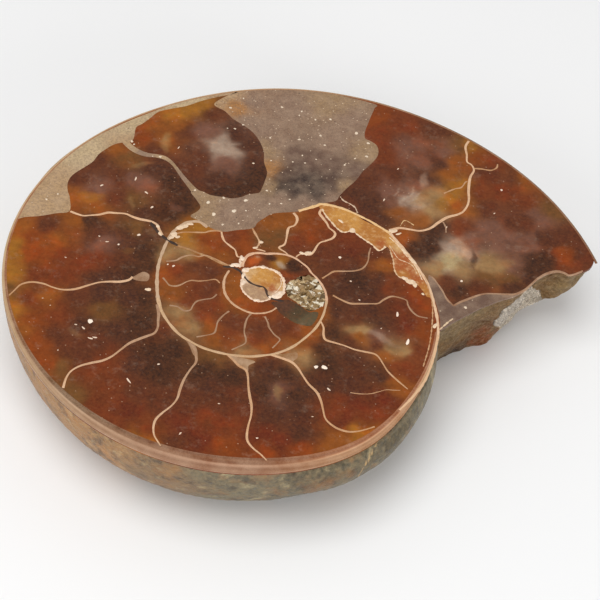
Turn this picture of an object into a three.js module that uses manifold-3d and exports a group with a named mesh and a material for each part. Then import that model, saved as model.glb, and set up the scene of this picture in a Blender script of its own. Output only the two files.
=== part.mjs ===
// One half of an ammonite, cut through the middle of its coil and polished, lying on its rounded
// back with the cut face up. Millimetres, +Z up, origin under the middle of its outline.
//
// The whorls wind clockwise outward, seen from above. "Growth" is the angle in degrees counted
// back along the coil from the +X side of the last whorl: 0 is beside the broken end, 360 is one
// whorl further in. Lengths along a whorl are measured from the pole that the coil winds round.

import * as THREE from 'three';
import { mergeVertices } from 'three/addons/utils/BufferGeometryUtils.js';
import Module from 'manifold-3d';

const THICKNESS = 10.5; // from the ground resting surface up to the cut face
const POLE = { x: -3.5, y: 0.5 };
const GAP = 0.3; // between a crystal cluster and the stone around it

// Pole to outer wall, every 30 degrees of growth over the last whorl.
const WALL_STEP = 30;
const OUTER_WALL = [35.8, 34.5, 32.6, 30.8, 28.6, 27.4, 26.5, 25.5, 24.6, 23.4, 21.8, 19.0, 17.6];
const INNER_WHORL_RATIO = 2.6; // how much one of the inner whorls grows

// Depth of the rounded side below the cut face, at its deepest, every 90 degrees of growth.
const BREADTH_STEP = 90;
const HALF_BREADTH = [11.2, 11.1, 11.0, 10.8, 8.8, 7.0, 5.4, 4.1, 3.0, 2.2, 1.6, 1.2];

// Across a whorl, as fractions of the distance from the pole to the outer wall.
const CROWN = 0.62; // deepest line of the side
const LENS = 1.8; // how full the side is between the crown and the edge at the open end
const SHOULDER = 0.42; // where the side turns down into the hollow of the navel
const SEAM = 0.28; // foot of the navel wall
const SEAM_DEPTH = 0.3; // depth at the seam, as a fraction of the deepest
const SWELL = 1.1; // how far the side swells past the cut edge beside the broken end
const SWELL_DEPTH = 6;
const SWELL_AT = { from: 280, to: 352 };

const FIRST_GROWTH = -6; // the last whorl is modelled to here, then broken off
const UNBROKEN_GROWTH = 200; // from here inward the break touches nothing
const LAST_GROWTH = 990;
const EDGE_DEPTH = 0.4; // the cut edge stands this high where the side begins
const REMNANT_ARC = 50; // degrees of the side over which the lost whorl's remains thin out
const STEPS_ROUND = 150;
const JUMP = 0.04; // degrees between the first ray of the last whorl and the last
const FLANK_STEPS = 14;
const NAVEL_STEPS = 12;

// The break across the last whorl, along the cut face from the notch out to the tip.
const BREAK_EDGE = [
  [13.2, -2.2],
  [14.2, -1.2],
  [16.2, 0.9],
  [18.0, 2.6],
  [20.0, 4.1],
  [21.8, 5.2],
  [23.6, 7.7],
  [24.8, 8.9],
  [26.0, 9.4],
  [27.2, 9.1],
  [28.4, 9.8],
  [29.2, 10.5],
  [29.55, 11.5],
  [29.55, 12.8],
  [30.6, 15.2],
];
const BREAK_UNDERCUT = 3.0; // how far the foot of the break lies behind its upper edge
const BREAK_INWARD = new THREE.Vector2(-0.58, 0.815);
const BREAK_STEPS = 7;
const BREAK_ROUGHNESS = 0.28;

// The open chamber beside the middle of the coil, lined with a crust of small crystals.
const HOLLOW = [
  [-1.5, 0.9],
  [-1.6, 1.9],
  [-0.7, 2.8],
  [0.4, 3.6],
  [1.4, 3.2],
  [2.2, 2.0],
  [2.6, 0.6],
  [2.0, -0.7],
  [1.0, -1.3],
  [0.1, -0.6],
  [-1.2, 0.2],
];
const HOLLOW_DEPTH = 1.6;

// The pocket of sugary crystals in the broken end, seen square on to the break: along it and down.
const POCKET_CENTRE = new THREE.Vector3(21.9, 7.3, 5.9);
const POCKET_SIZE = { along: 2.4, down: 3.5, into: 1.4 };
const POCKET_TURN = 0.62; // radians about Z, which sets it along the break

const stone = new THREE.MeshStandardMaterial({ color: 0x6e3417, roughness: 0.15, metalness: 0 });
const druse = new THREE.MeshStandardMaterial({ color: 0x9a8f70, roughness: 0.35, metalness: 0.3 });
const sugar = new THREE.MeshStandardMaterial({ color: 0xbdb4aa, roughness: 0.6, metalness: 0 });

const wasm = await Module();
wasm.setup();

// --- Joining and cutting -----------------------------------------------------------------------

function toSolid(geometry) {
  const bare = new THREE.BufferGeometry();
  bare.setAttribute('position', geometry.getAttribute('position').clone());
  bare.setIndex(geometry.getIndex());
  const merged = mergeVertices(bare, 1e-4);
  const index = merged.getIndex().array;
  const triangles = [];
  for (let i = 0; i < index.length; i += 3) {
    const [a, b, c] = [index[i], index[i + 1], index[i + 2]];
    if (a !== b && b !== c && c !== a) triangles.push(a, b, c);
  }
  return new wasm.Manifold(
    new wasm.Mesh({
      numProp: 3,
      vertProperties: new Float32Array(merged.getAttribute('position').array),
      triVerts: new Uint32Array(triangles),
    }),
  );
}

function toGeometry(solid) {
  const mesh = solid.getMesh();
  const geometry = new THREE.BufferGeometry();
  geometry.setAttribute('position', new THREE.BufferAttribute(new Float32Array(mesh.vertProperties), 3));
  geometry.setIndex(new THREE.BufferAttribute(new Uint32Array(mesh.triVerts), 1));
  return geometry;
}

function prism(points, bottom, top, steps = 1) {
  const shape = new THREE.Shape(points.map(([x, y]) => new THREE.Vector2(x, y)));
  const geometry = new THREE.ExtrudeGeometry(shape, { depth: top - bottom, bevelEnabled: false, steps });
  return geometry.translate(0, 0, bottom);
}

// --- The coil ----------------------------------------------------------------------------------

function sampleTable(table, step, growth) {
  const curve = new THREE.SplineCurve(table.map((value, i) => new THREE.Vector2(i, value)));
  const last = table.length - 1;
  const t = THREE.MathUtils.clamp(growth / (step * last), 0, 1);
  return curve.getPoint(t).y;
}

function wallRadius(growth) {
  const outermost = OUTER_WALL[0];
  if (growth < 0) return outermost * Math.exp(-growth * 0.0016);
  const innermost = OUTER_WALL[OUTER_WALL.length - 1];
  if (growth > 360) return innermost * INNER_WHORL_RATIO ** ((360 - growth) / 360);
  return sampleTable(OUTER_WALL, WALL_STEP, growth);
}

// Depth of one whorl's side below the cut face, at a distance from the pole.
function whorlDepth(growth, radius) {
  const across = radius / wallRadius(growth);
  if (across >= 1) return 0;
  const deepest = sampleTable(HALF_BREADTH, BREADTH_STEP, growth);
  if (across > CROWN) {
    const s = (across - CROWN) / (1 - CROWN);
    const rounded = Math.sqrt(1 - s * s);
    const lensShaped = 1 - s ** LENS;
    return deepest * THREE.MathUtils.lerp(lensShaped, rounded, THREE.MathUtils.smoothstep(growth, 25, 140));
  }
  const wall = THREE.MathUtils.smoothstep(across, SEAM, SHOULDER);
  return deepest * (SEAM_DEPTH + (1 - SEAM_DEPTH) * wall);
}

// The growth of the outermost whorl at an angle round the pole, on a coil that starts at start.
function outerGrowthAt(angle, start) {
  const turns = Math.ceil((start - angle) / 360);
  return angle + 360 * turns;
}

// The side of the shell: each whorl overlaps the one before, so the deepest one shows. Past the
// break, what the lost whorl left on the side of the whorl inside it thins out over a short arc.
function sideDepth(angle, radius, start) {
  const outer = outerGrowthAt(angle, start);
  let depth = EDGE_DEPTH;
  for (let growth = outer; growth < LAST_GROWTH; growth += 360) {
    depth = Math.max(depth, whorlDepth(growth, radius));
  }
  const lost = angle - 360;
  if (start === FIRST_GROWTH && lost < FIRST_GROWTH && lost > -REMNANT_ARC) {
    const along = (lost + REMNANT_ARC) / (REMNANT_ARC + FIRST_GROWTH);
    const across = 1 - THREE.MathUtils.smoothstep(radius / wallRadius(outer), 0.55, 0.95);
    depth = THREE.MathUtils.lerp(depth, Math.max(depth, whorlDepth(lost, radius)), along * across);
  }
  return depth;
}

function swellAt(angle, depth) {
  const { from, to } = SWELL_AT;
  if (angle < from || angle > to) return 0;
  const along = Math.sin((Math.PI * (angle - from)) / (to - from));
  const down = Math.sin(Math.PI * Math.min(depth / SWELL_DEPTH, 1));
  return SWELL * Math.sqrt(along) * down;
}

// One ray, from the middle of the back out round the side, over the edge and in across the face.
function rayStations() {
  const stations = [];
  for (let i = 0; i <= NAVEL_STEPS; i += 1) {
    stations.push({ across: SHOULDER * (i / NAVEL_STEPS) });
  }
  stations.push({ across: (CROWN + SHOULDER) / 2 });
  for (let i = 0; i < FLANK_STEPS; i += 1) {
    const turn = (Math.PI / 2) * (i / FLANK_STEPS);
    stations.push({ across: CROWN + (1 - CROWN) * Math.sin(turn) });
  }
  stations.push({ across: 1, face: true }, { across: 0.5, face: true }, { across: 0, face: true });
  return stations;
}

function coilSolid(start) {
  const stations = rayStations();
  const profile = stations.map((s, i) => new THREE.Vector2(s.across, i));
  const geometry = new THREE.LatheGeometry(profile, STEPS_ROUND);
  const position = geometry.getAttribute('position');
  for (let i = 0; i < position.count; i += 1) {
    const station = stations[i % stations.length];
    const step = Math.floor(i / stations.length) % STEPS_ROUND;
    const along = start + JUMP / 2 + (step * (360 - JUMP)) / (STEPS_ROUND - 1);
    const angle = station.across === 0 ? 0 : along;
    const radius = station.across * wallRadius(outerGrowthAt(angle, start));
    const depth = station.face ? 0 : sideDepth(angle, radius, start);
    const reach = radius + (station.across > CROWN ? swellAt(angle, depth) : 0);
    const turn = THREE.MathUtils.degToRad(angle);
    position.setXYZ(
      i,
      POLE.x + reach * Math.cos(turn),
      POLE.y + reach * Math.sin(turn),
      THICKNESS - depth,
    );
  }
  return toSolid(geometry);
}

// --- The broken end ----------------------------------------------------------------------------

function roughness(x, z) {
  return BREAK_ROUGHNESS * (Math.sin(2.1 * x + 1.3 * z) + Math.sin(1.2 * x - 2.3 * z + 1) * 0.7);
}

// Everything past the break: its wall leans in under the face and is rough below the edge.
function breakTool() {
  const outside = [[44, 15.2], [44, -34], [4, -34]];
  const geometry = prism([...BREAK_EDGE, ...outside], -3, THICKNESS + 2, BREAK_STEPS);
  const position = geometry.getAttribute('position');
  for (let i = 0; i < position.count; i += 1) {
    const below = Math.max(0, THICKNESS - position.getZ(i)) / THICKNESS;
    const rough = below > 0 ? roughness(position.getX(i), position.getZ(i)) : 0;
    const lean = BREAK_UNDERCUT * below + rough;
    position.setX(i, position.getX(i) + BREAK_INWARD.x * lean);
    position.setY(i, position.getY(i) + BREAK_INWARD.y * lean);
  }
  return toSolid(geometry);
}

function aboveGround() {
  return toSolid(new THREE.BoxGeometry(90, 90, 20).translate(0, 0, 10));
}

// --- The crystals ------------------------------------------------------------------------------

function inset(points, distance) {
  const middle = new THREE.Vector2();
  for (const [x, y] of points) middle.add(new THREE.Vector2(x, y).divideScalar(points.length));
  return points.map(([x, y]) => {
    const out = new THREE.Vector2(x, y).sub(middle);
    out.setLength(out.length() - distance);
    return [middle.x + out.x, middle.y + out.y];
  });
}

// A crystal stands on its point in the crust, tilted its own way.
function crystal(x, y, z, size, number) {
  const geometry = new THREE.BoxGeometry(size, size * 0.9, size * 1.1);
  geometry.rotateX(0.5 + 1.7 * Math.sin(number * 2.4));
  geometry.rotateY(0.6 + 1.3 * Math.sin(number * 1.7 + 1));
  geometry.rotateZ(number * 1.1);
  return toSolid(geometry.translate(x, y, z));
}

function cavityDruse() {
  const outline = inset(HOLLOW, GAP + 0.05);
  const floor = THICKNESS - HOLLOW_DEPTH + GAP;
  let crust = toSolid(prism(outline, floor, floor + 0.5));
  const box = toSolid(prism(outline, floor, THICKNESS - 0.05));
  const seats = [
    [-0.8, 1.5], [0.2, 2.6], [1.1, 2.3], [0.2, 1.4], [1.4, 1.2],
    [0.9, 0.2], [-0.1, 0.5], [1.8, 0.3], [1.0, -0.5], [0.6, 3.0],
  ];
  seats.forEach(([x, y], number) => {
    const size = 0.75 + 0.25 * Math.sin(number * 2.9);
    crust = crust.add(crystal(x, y, floor + 0.6, size, number));
  });
  return crust.intersect(box);
}

function pocketEllipsoid(shrink) {
  const { along, down, into } = POCKET_SIZE;
  const geometry = new THREE.SphereGeometry(1, 14, 10);
  geometry.scale(along - shrink, into - shrink, down - shrink);
  geometry.rotateX(0.38);
  geometry.rotateZ(POCKET_TURN);
  return toSolid(geometry.translate(POCKET_CENTRE.x, POCKET_CENTRE.y, POCKET_CENTRE.z));
}

// --- The fossil --------------------------------------------------------------------------------

function sculptHalf() {
  const whole = coilSolid(FIRST_GROWTH).intersect(aboveGround());
  const lost = breakTool().subtract(coilSolid(UNBROKEN_GROWTH));
  const broken = whole.subtract(lost);
  const hollow = toSolid(prism(HOLLOW, THICKNESS - HOLLOW_DEPTH, THICKNESS + 1));
  return broken.subtract(hollow);
}

const whole = sculptHalf();
const half = whole.subtract(pocketEllipsoid(0));
const pieces = [
  { name: 'ammonite_half', solid: half, material: stone },
  { name: 'cavity_druse', solid: cavityDruse(), material: druse },
  { name: 'break_crystals', solid: whole.intersect(pocketEllipsoid(GAP)), material: sugar },
];

const ammonite = new THREE.Group();
const halfBox = new THREE.Box3().setFromBufferAttribute(toGeometry(half).getAttribute('position'));
const middle = halfBox.getCenter(new THREE.Vector3());
ammonite.position.set(-middle.x, -middle.y, 0);
for (const { name, solid, material } of pieces) {
  const mesh = new THREE.Mesh(toGeometry(solid), material);
  mesh.name = name;
  ammonite.add(mesh);
}

export default ammonite;
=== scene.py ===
import math

import bpy
import numpy as np
from mathutils import Matrix, Quaternion, Vector, noise
from mathutils.geometry import delaunay_2d_cdt


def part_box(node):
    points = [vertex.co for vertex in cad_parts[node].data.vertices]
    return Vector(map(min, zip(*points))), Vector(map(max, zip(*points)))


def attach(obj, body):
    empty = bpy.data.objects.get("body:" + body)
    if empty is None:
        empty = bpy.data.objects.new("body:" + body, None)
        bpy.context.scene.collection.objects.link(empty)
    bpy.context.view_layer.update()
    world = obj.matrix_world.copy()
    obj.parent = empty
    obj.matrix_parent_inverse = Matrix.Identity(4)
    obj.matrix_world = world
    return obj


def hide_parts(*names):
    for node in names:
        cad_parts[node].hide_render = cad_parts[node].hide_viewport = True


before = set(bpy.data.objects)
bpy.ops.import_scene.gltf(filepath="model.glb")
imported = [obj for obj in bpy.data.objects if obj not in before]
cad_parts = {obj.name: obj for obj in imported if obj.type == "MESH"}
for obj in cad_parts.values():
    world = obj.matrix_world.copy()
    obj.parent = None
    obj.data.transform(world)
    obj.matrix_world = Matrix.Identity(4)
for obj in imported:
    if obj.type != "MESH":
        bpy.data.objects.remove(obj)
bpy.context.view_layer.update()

# --- The shell and stone of the half -----------------------------------------------------------
# Weathered shell over stone: the whole rounded side and the hollow of the navel, up to a hair
# below the cut face. It is one natural lump; the last whorl ends in a rough break.
THICKNESS = 10.5
VENEER = 0.25  # the polished face and all that shows in it
LEFT_TO_MIDDLE = 30.05  # from the left side of the half to the point its plan is drawn from
NEAR_TO_MIDDLE = 23.04
POLE = np.array([-3.5, 0.5])
WALL_STEP = 30
OUTER_WALL = [35.8, 34.5, 32.6, 30.8, 28.6, 27.4, 26.5, 25.5, 24.6, 23.4, 21.8, 19.0, 17.6]
INNER_WHORL_RATIO = 2.6
BREADTH_STEP = 90
HALF_BREADTH = [11.2, 11.1, 11.0, 10.8, 8.8, 7.0, 5.4, 4.1, 3.0, 2.2, 1.6, 1.2]
CROWN = 0.62
LENS = 1.8
SHOULDER = 0.42
SEAM = 0.28
SEAM_DEPTH = 0.3
SWELL = 1.1
SWELL_DEPTH = 6.0
SWELL_FROM = 280
SWELL_TO = 352
FIRST_GROWTH = -6
UNBROKEN_GROWTH = 200
EDGE_DEPTH = 0.4
REMNANT_ARC = 50
SIDE_SPACING = 0.42
EDGE_RINGS = (0.05, 0.15, 0.3, 0.5, 0.8, 1.2, 1.7)  # rows of points just inside the edge

BREAK_EDGE = [
    (13.2, -2.2), (14.2, -1.2), (16.2, 0.9), (18.0, 2.6), (20.0, 4.1), (21.8, 5.2),
    (23.6, 7.7), (24.8, 8.9), (26.0, 9.4), (27.2, 9.1), (28.4, 9.8), (29.2, 10.5),
    (29.55, 11.5), (29.55, 12.8), (30.6, 15.2),
]
PAST_THE_BREAK = [(46, 15.2), (46, -36), (4, -36)]  # far corners of the part that is lost
BREAK_UNDERCUT = 3.0
BREAK_INWARD = np.array([-0.58, 0.815])

HOLLOW = [
    (-1.5, 0.9), (-1.6, 1.9), (-0.7, 2.8), (0.4, 3.6), (1.4, 3.2), (2.2, 2.0),
    (2.6, 0.6), (2.0, -0.7), (1.0, -1.3), (0.1, -0.6), (-1.2, 0.2),
]
HOLLOW_DEPTH = 1.6

low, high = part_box("ammonite_half")
MIDDLE = np.array([low.x * 1000 + LEFT_TO_MIDDLE, low.y * 1000 + NEAR_TO_MIDDLE, 0.0])


def smoothstep(start, end, value):
    """0 before start, 1 past end, and a soft step between."""
    t = np.clip((value - start) / (end - start), 0, 1)
    return t * t * (3 - 2 * t)


def blend(a, b, t):
    """a at t = 0, b at t = 1."""
    return a + (b - a) * t


def spline(table, at):
    """A smooth curve through the rows of table, read at row numbers that may be fractions."""
    table = np.asarray(table, float)
    last = len(table) - 1
    at = np.clip(at, 0, last)
    row = np.minimum(np.floor(at).astype(int), last - 1)
    t = at - row
    if table.ndim > 1:
        t = t[:, None]
    before, here = table[np.maximum(row - 1, 0)], table[row]
    there, after = table[row + 1], table[np.minimum(row + 2, last)]
    leave, arrive = (there - before) / 2, (after - here) / 2
    return (
        (2 * here - 2 * there + leave + arrive) * t**3
        + (-3 * here + 3 * there - 2 * leave - arrive) * t**2
        + leave * t
        + here
    )


def wall_radius(growth):
    """Pole to outer wall at a growth angle; each inner whorl is smaller by one ratio."""
    within = spline(OUTER_WALL, np.clip(growth, 0, 360) / WALL_STEP)
    past = OUTER_WALL[0] * np.exp(-np.minimum(growth, 0) * 0.0016)
    inner = OUTER_WALL[-1] * INNER_WHORL_RATIO ** ((360 - np.maximum(growth, 360)) / 360)
    return np.where(growth < 0, past, np.where(growth > 360, inner, within))


def whorl_depth(growth, radius):
    """How far one whorl reaches below the cut face, at a distance from the pole."""
    across = radius / wall_radius(growth)
    deepest = spline(HALF_BREADTH, growth / BREADTH_STEP)
    s = np.clip((across - CROWN) / (1 - CROWN), 0, 1)
    profile = blend(1 - s**LENS, np.sqrt(1 - s * s), smoothstep(25, 140, growth))
    navel = SEAM_DEPTH + (1 - SEAM_DEPTH) * smoothstep(SEAM, SHOULDER, across)
    depth = deepest * np.where(across > CROWN, profile, navel)
    return np.where(across >= 1, 0.0, depth)


def polar(points, start=FIRST_GROWTH):
    """Growth of the outermost whorl and distance from the pole, at points on the plan."""
    out = points[:, :2] - POLE
    angle = np.degrees(np.arctan2(out[:, 1], out[:, 0])) % 360
    return angle + 360 * np.ceil((start - angle) / 360), np.hypot(out[:, 0], out[:, 1])


def side_depth(points, start=FIRST_GROWTH):
    """Depth of the rounded side: the deepest of the whorls that lie there."""
    outer, radius = polar(points, start)
    depth = np.full(len(points), EDGE_DEPTH)
    for turn in range(3):
        depth = np.maximum(depth, whorl_depth(outer + 360 * turn, radius))
    if start == FIRST_GROWTH:
        lost = outer - 360
        along = (lost + REMNANT_ARC) / (REMNANT_ARC + FIRST_GROWTH)
        across = 1 - smoothstep(0.55, 0.95, radius / wall_radius(outer))
        remnant = np.maximum(depth, whorl_depth(lost, radius))
        share = np.where((lost < FIRST_GROWTH) & (lost > -REMNANT_ARC), along * across, 0)
        depth = blend(depth, remnant, share)
    return depth


def hash_noise(points, size, seed=0.0):
    """Smooth noise from -1 to 1 at each point, with features of that size."""
    return np.array([noise.noise(Vector(p) / size + Vector((seed, seed, seed))) for p in points.tolist()])


def inside(points, loop):
    """Which points lie inside a closed loop on the plan."""
    found = np.zeros(len(points), bool)
    x, y = points[:, 0], points[:, 1]
    for (ax, ay), (bx, by) in zip(loop, np.roll(loop, -1, axis=0)):
        if ay == by:
            continue
        crosses = (ay > y) != (by > y)
        found ^= crosses & (x < (bx - ax) * (y - ay) / (by - ay) + ax)
    return found


def counterclockwise(loop):
    """The same loop, run counterclockwise."""
    x, y = np.asarray(loop, float).T
    area = np.sum(x * np.roll(y, -1) - np.roll(x, -1) * y)
    return np.asarray(loop, float)[:: 1 if area > 0 else -1]


def triangles(loops, inner_points):
    """Fills the first loop, less the others, with triangles that use the inner points too."""
    corners = np.vstack([*loops, inner_points]) if len(inner_points) else np.vstack(loops)
    edges, first = [], 0
    for loop in loops:
        n = len(loop)
        edges += [(first + i, first + (i + 1) % n) for i in range(n)]
        first += n
    made = delaunay_2d_cdt([Vector(p) for p in corners.tolist()], edges, [], 1, 1e-6)
    flat = np.array([tuple(p) for p in made[0]])
    faces = np.array([f for f in made[2] if len(f) == 3])
    middles = flat[faces].mean(axis=1)
    keep = inside(middles, loops[0])
    for hole in loops[1:]:
        keep &= ~inside(middles, hole)
    return flat, faces[keep]


NO_POINTS = np.zeros((0, 2))


def band(lower, upper):
    """Two triangles between each pair of neighbours on two rings of the same length."""
    a, b = np.asarray(lower), np.asarray(upper)
    c, d = np.roll(a, -1), np.roll(b, -1)
    return np.vstack([np.column_stack([a, c, d]), np.column_stack([a, d, b])])


def linear(tone):
    """A tone of 0 to 255 as linear light of 0 to 1."""
    share = np.asarray(tone, float) / 255
    return np.where(share <= 0.04045, share / 12.92, ((share + 0.055) / 1.055) ** 2.4)


def make_piece(name, points, faces, tints, material, crease=35):
    """An object from plan points in millimetres, its tints stored on the points."""
    mesh = bpy.data.meshes.new(name)
    mesh.from_pydata(((points + MIDDLE) / 1000).tolist(), [], faces.tolist())
    mesh.validate()
    store = mesh.color_attributes.new("tint", "FLOAT_COLOR", "POINT")
    rgba = np.column_stack([linear(tints), np.ones(len(points))])
    store.data.foreach_set("color", rgba.ravel())
    mesh.shade_smooth()
    mesh.set_sharp_from_angle(angle=math.radians(crease))
    mesh.materials.append(material)
    piece = bpy.data.objects.new(name, mesh)
    bpy.context.scene.collection.objects.link(piece)
    return piece


def coil_solid(name, start, material):
    """The coil as it was before the break, starting at a growth, closed on top."""
    turns = np.radians(np.arange(start, start + 360, 0.75))
    ray = np.column_stack([np.cos(turns), np.sin(turns)])
    walls = wall_radius(np.degrees(turns))
    rim = POLE + ray * walls[:, None]
    rings = [POLE + ray * (walls - inset)[:, None] for inset in EDGE_RINGS]
    gx, gy = np.meshgrid(np.arange(-34, 34, SIDE_SPACING), np.arange(-28, 36, SIDE_SPACING))
    gx[::2] += SIDE_SPACING / 2
    grid = np.column_stack([gx.ravel(), gy.ravel()])
    outer, radius = polar(grid, start)
    grid = grid[radius < wall_radius(outer) - 2.0]
    flat, faces = triangles([rim], np.vstack([*rings, grid]))
    depth = side_depth(flat, start)
    n = len(rim)
    depth[:n] = EDGE_DEPTH
    outer, radius = polar(flat, start)
    across = radius / wall_radius(outer)
    angle = outer % 360
    reach = np.sin(np.pi * np.clip((angle - SWELL_FROM) / (SWELL_TO - SWELL_FROM), 0, 1)) ** 0.5
    reach = reach * SWELL * np.sin(np.pi * np.clip(depth / SWELL_DEPTH, 0, 1))
    reach = np.where(across > CROWN, reach, 0)
    lumps = hash_noise(np.column_stack([flat, depth]), 3.2) * 0.16
    lumps += hash_noise(np.column_stack([flat, depth]), 0.9, 7.0) * 0.05
    growth_lines = 0.035 * np.sin(outer * 2.3 + 14 * across) * (across > 0.4)
    fade = smoothstep(EDGE_DEPTH, 2.0, depth)
    depth = depth + (lumps + growth_lines) * fade
    out = (flat - POLE) / np.maximum(radius, 0.001)[:, None]
    side = np.column_stack([flat + out * reach[:, None], np.maximum(THICKNESS - depth, 0.0)])
    top = np.column_stack([rim, np.full(n, THICKNESS - VENEER)])
    _, cap = triangles([rim], NO_POINTS)
    points = np.vstack([side, top])
    first = len(side)
    ring = np.arange(n)
    everything = np.vstack([faces[:, ::-1], band(ring, first + ring), cap + first])
    return make_piece(name, points, everything, np.full((len(points), 3), 120), material)


def wall_grid(material):
    """All that lies past the break, as a block whose near wall is the broken end."""
    edge = np.array(BREAK_EDGE)
    along = spline(edge, np.linspace(0, len(edge) - 1, 220))
    loop = counterclockwise(np.vstack([along, PAST_THE_BREAK]))
    levels = np.append(np.linspace(-1.5, THICKNESS, 60), THICKNESS + 2)
    rows = []
    for level in levels:
        below = max(0.0, THICKNESS - level) / THICKNESS
        row = np.column_stack([loop, np.full(len(loop), level)])
        rough = 0.34 * hash_noise(row, 2.6, 3.0) + 0.2 * hash_noise(row, 0.9, 5.0)
        rough += 0.07 * hash_noise(row, 0.35, 9.0)
        lean = BREAK_UNDERCUT * below + rough * min(1.0, below * 9)
        row[:, :2] += BREAK_INWARD * lean[:, None]
        rows.append(row)
    n = len(loop)
    ring = np.arange(n)
    faces = [band(ring + n * i, ring + n * (i + 1)) for i in range(len(levels) - 1)]
    _, cap = triangles([loop], NO_POINTS)
    faces += [cap[:, ::-1], cap + n * (len(levels) - 1)]
    points = np.vstack(rows)
    return make_piece("past_the_break", points, np.vstack(faces), np.full((len(points), 3), 120), material)


def cut(piece, tool, name):
    """piece less tool, as a new object; the two it was made from are removed."""
    change = piece.modifiers.new("cut", "BOOLEAN")
    change.operation = "DIFFERENCE"
    change.solver = "MANIFOLD"
    change.material_mode = "TRANSFER"
    change.object = tool
    bpy.context.view_layer.update()
    mesh = bpy.data.meshes.new_from_object(piece.evaluated_get(bpy.context.evaluated_depsgraph_get()))
    made = bpy.data.objects.new(name, mesh)
    bpy.context.scene.collection.objects.link(made)
    for old in (piece, tool):
        bpy.data.objects.remove(old)
    return made


def block(name, loop, bottom, top, material):
    """An upright block over a loop."""
    loop = counterclockwise(loop)
    _, cap = triangles([loop], NO_POINTS)
    n = len(loop)
    ring = np.arange(n)
    points = np.vstack([np.column_stack([loop, np.full(n, z)]) for z in (bottom, top)])
    faces = np.vstack([cap[:, ::-1], cap + n, band(ring, ring + n)])
    return make_piece(name, points, faces, np.full((2 * n, 3), 120), material)


def add_node(tree, kind, settings=(), **values):
    """A shader node, its settings and the values of its sockets."""
    made = tree.nodes.new(kind)
    for key, value in dict(settings).items():
        setattr(made, key, value)
    for key, value in values.items():
        made.inputs[key.replace("_", " ")].default_value = value
    return made


def new_material(name):
    """A painted material: its colour starts from the tints stored on the mesh."""
    material = bpy.data.materials.new(name)
    material.use_nodes = True
    tree = material.node_tree
    surface = tree.nodes["Principled BSDF"]
    tint = add_node(tree, "ShaderNodeVertexColor", {"layer_name": "tint"})
    place = add_node(tree, "ShaderNodeTexCoord")
    scale = add_node(tree, "ShaderNodeMapping", Scale=(1000, 1000, 1000))
    tree.links.new(place.outputs["Object"], scale.inputs["Vector"])
    return material, tree, surface, tint.outputs["Color"], scale.outputs["Vector"]


def grain(tree, place, size, detail=4.0, rough=0.6, low=0.3, high=0.7, stretch=None):
    """Noise with features of that many millimetres, spread from 0 to 1."""
    if stretch:
        turned = add_node(tree, "ShaderNodeMapping", Rotation=(0, 0, stretch[0]), Scale=stretch[1])
        tree.links.new(place, turned.inputs["Vector"])
        place = turned.outputs["Vector"]
    pattern = add_node(tree, "ShaderNodeTexNoise", Scale=1 / size, Detail=detail, Roughness=rough)
    tree.links.new(place, pattern.inputs["Vector"])
    spread = add_node(tree, "ShaderNodeMapRange", From_Min=low, From_Max=high)
    tree.links.new(pattern.outputs["Fac"], spread.inputs["Value"])
    return spread.outputs["Result"]


def ranged(tree, value, low, high, start=0.0, end=1.0):
    """A value of start to end, spread from low to high."""
    spread = add_node(tree, "ShaderNodeMapRange", From_Min=start, From_Max=end, To_Min=low, To_Max=high)
    tree.links.new(value, spread.inputs["Value"])
    return spread.outputs["Result"]


def mixed(tree, share, first, second, kind="MIX"):
    """first towards second by share; either may be a colour or a socket."""
    node = add_node(tree, "ShaderNodeMix", {"data_type": "RGBA", "blend_type": kind})
    for value, socket in ((share, node.inputs[0]), (first, node.inputs[6]), (second, node.inputs[7])):
        if hasattr(value, "links"):
            tree.links.new(value, socket)
        elif np.isscalar(value):
            socket.default_value = value
        else:
            socket.default_value = (*linear(value), 1)
    return node.outputs[2]


def bumped(tree, surface, height, depth):
    """Relief of that depth in millimetres."""
    relief = add_node(tree, "ShaderNodeBump", Strength=1.0, Distance=depth / 1000)
    tree.links.new(height, relief.inputs["Height"])
    tree.links.new(relief.outputs["Normal"], surface.inputs["Normal"])


def dots(tree, place, size, share, chosen):
    """1 inside round dots: one cell of that size in so many holds one, of that share of it."""
    cells = add_node(tree, "ShaderNodeTexVoronoi", Scale=1 / size, Randomness=1.0)
    tree.links.new(place, cells.inputs["Vector"])
    pick = add_node(tree, "ShaderNodeSeparateColor")
    tree.links.new(cells.outputs["Color"], pick.inputs["Color"])
    chosen_cell = ranged(tree, pick.outputs["Red"], 0, 1, 1 - chosen, 1 - chosen + 0.01)
    near = ranged(tree, cells.outputs["Distance"], 1, 0, share * 0.7, share)
    both = add_node(tree, "ShaderNodeMath", {"operation": "MULTIPLY"})
    tree.links.new(chosen_cell, both.inputs[0])
    tree.links.new(near, both.inputs[1])
    return both.outputs[0]


weathered, tree, surface, tint, place = new_material("weathered shell")
blotches = grain(tree, place, 2.6, 5)
fine = grain(tree, place, 0.5, 5)
colour = mixed(tree, ranged(tree, blotches, 0, 0.5), tint, (64, 50, 26))
colour = mixed(tree, ranged(tree, fine, 0, 0.3), colour, (206, 180, 136))
stains = grain(tree, place, 1.3, 5, 0.6, 0.5, 0.68)
rust = grain(tree, place, 3.4, 5, 0.6, 0.52, 0.7)
bleached = grain(tree, place, 1.9, 6, 0.6, 0.58, 0.7)
colour = mixed(tree, ranged(tree, stains, 0, 0.6), colour, (48, 32, 18))
colour = mixed(tree, ranged(tree, rust, 0, 0.45), colour, (170, 108, 40))
colour = mixed(tree, ranged(tree, bleached, 0, 0.4), colour, (210, 190, 144))
tree.links.new(colour, surface.inputs["Base Color"])
tree.links.new(ranged(tree, fine, 0.32, 0.6), surface.inputs["Roughness"])
bumped(tree, surface, grain(tree, place, 0.6, 6), 0.12)

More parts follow.
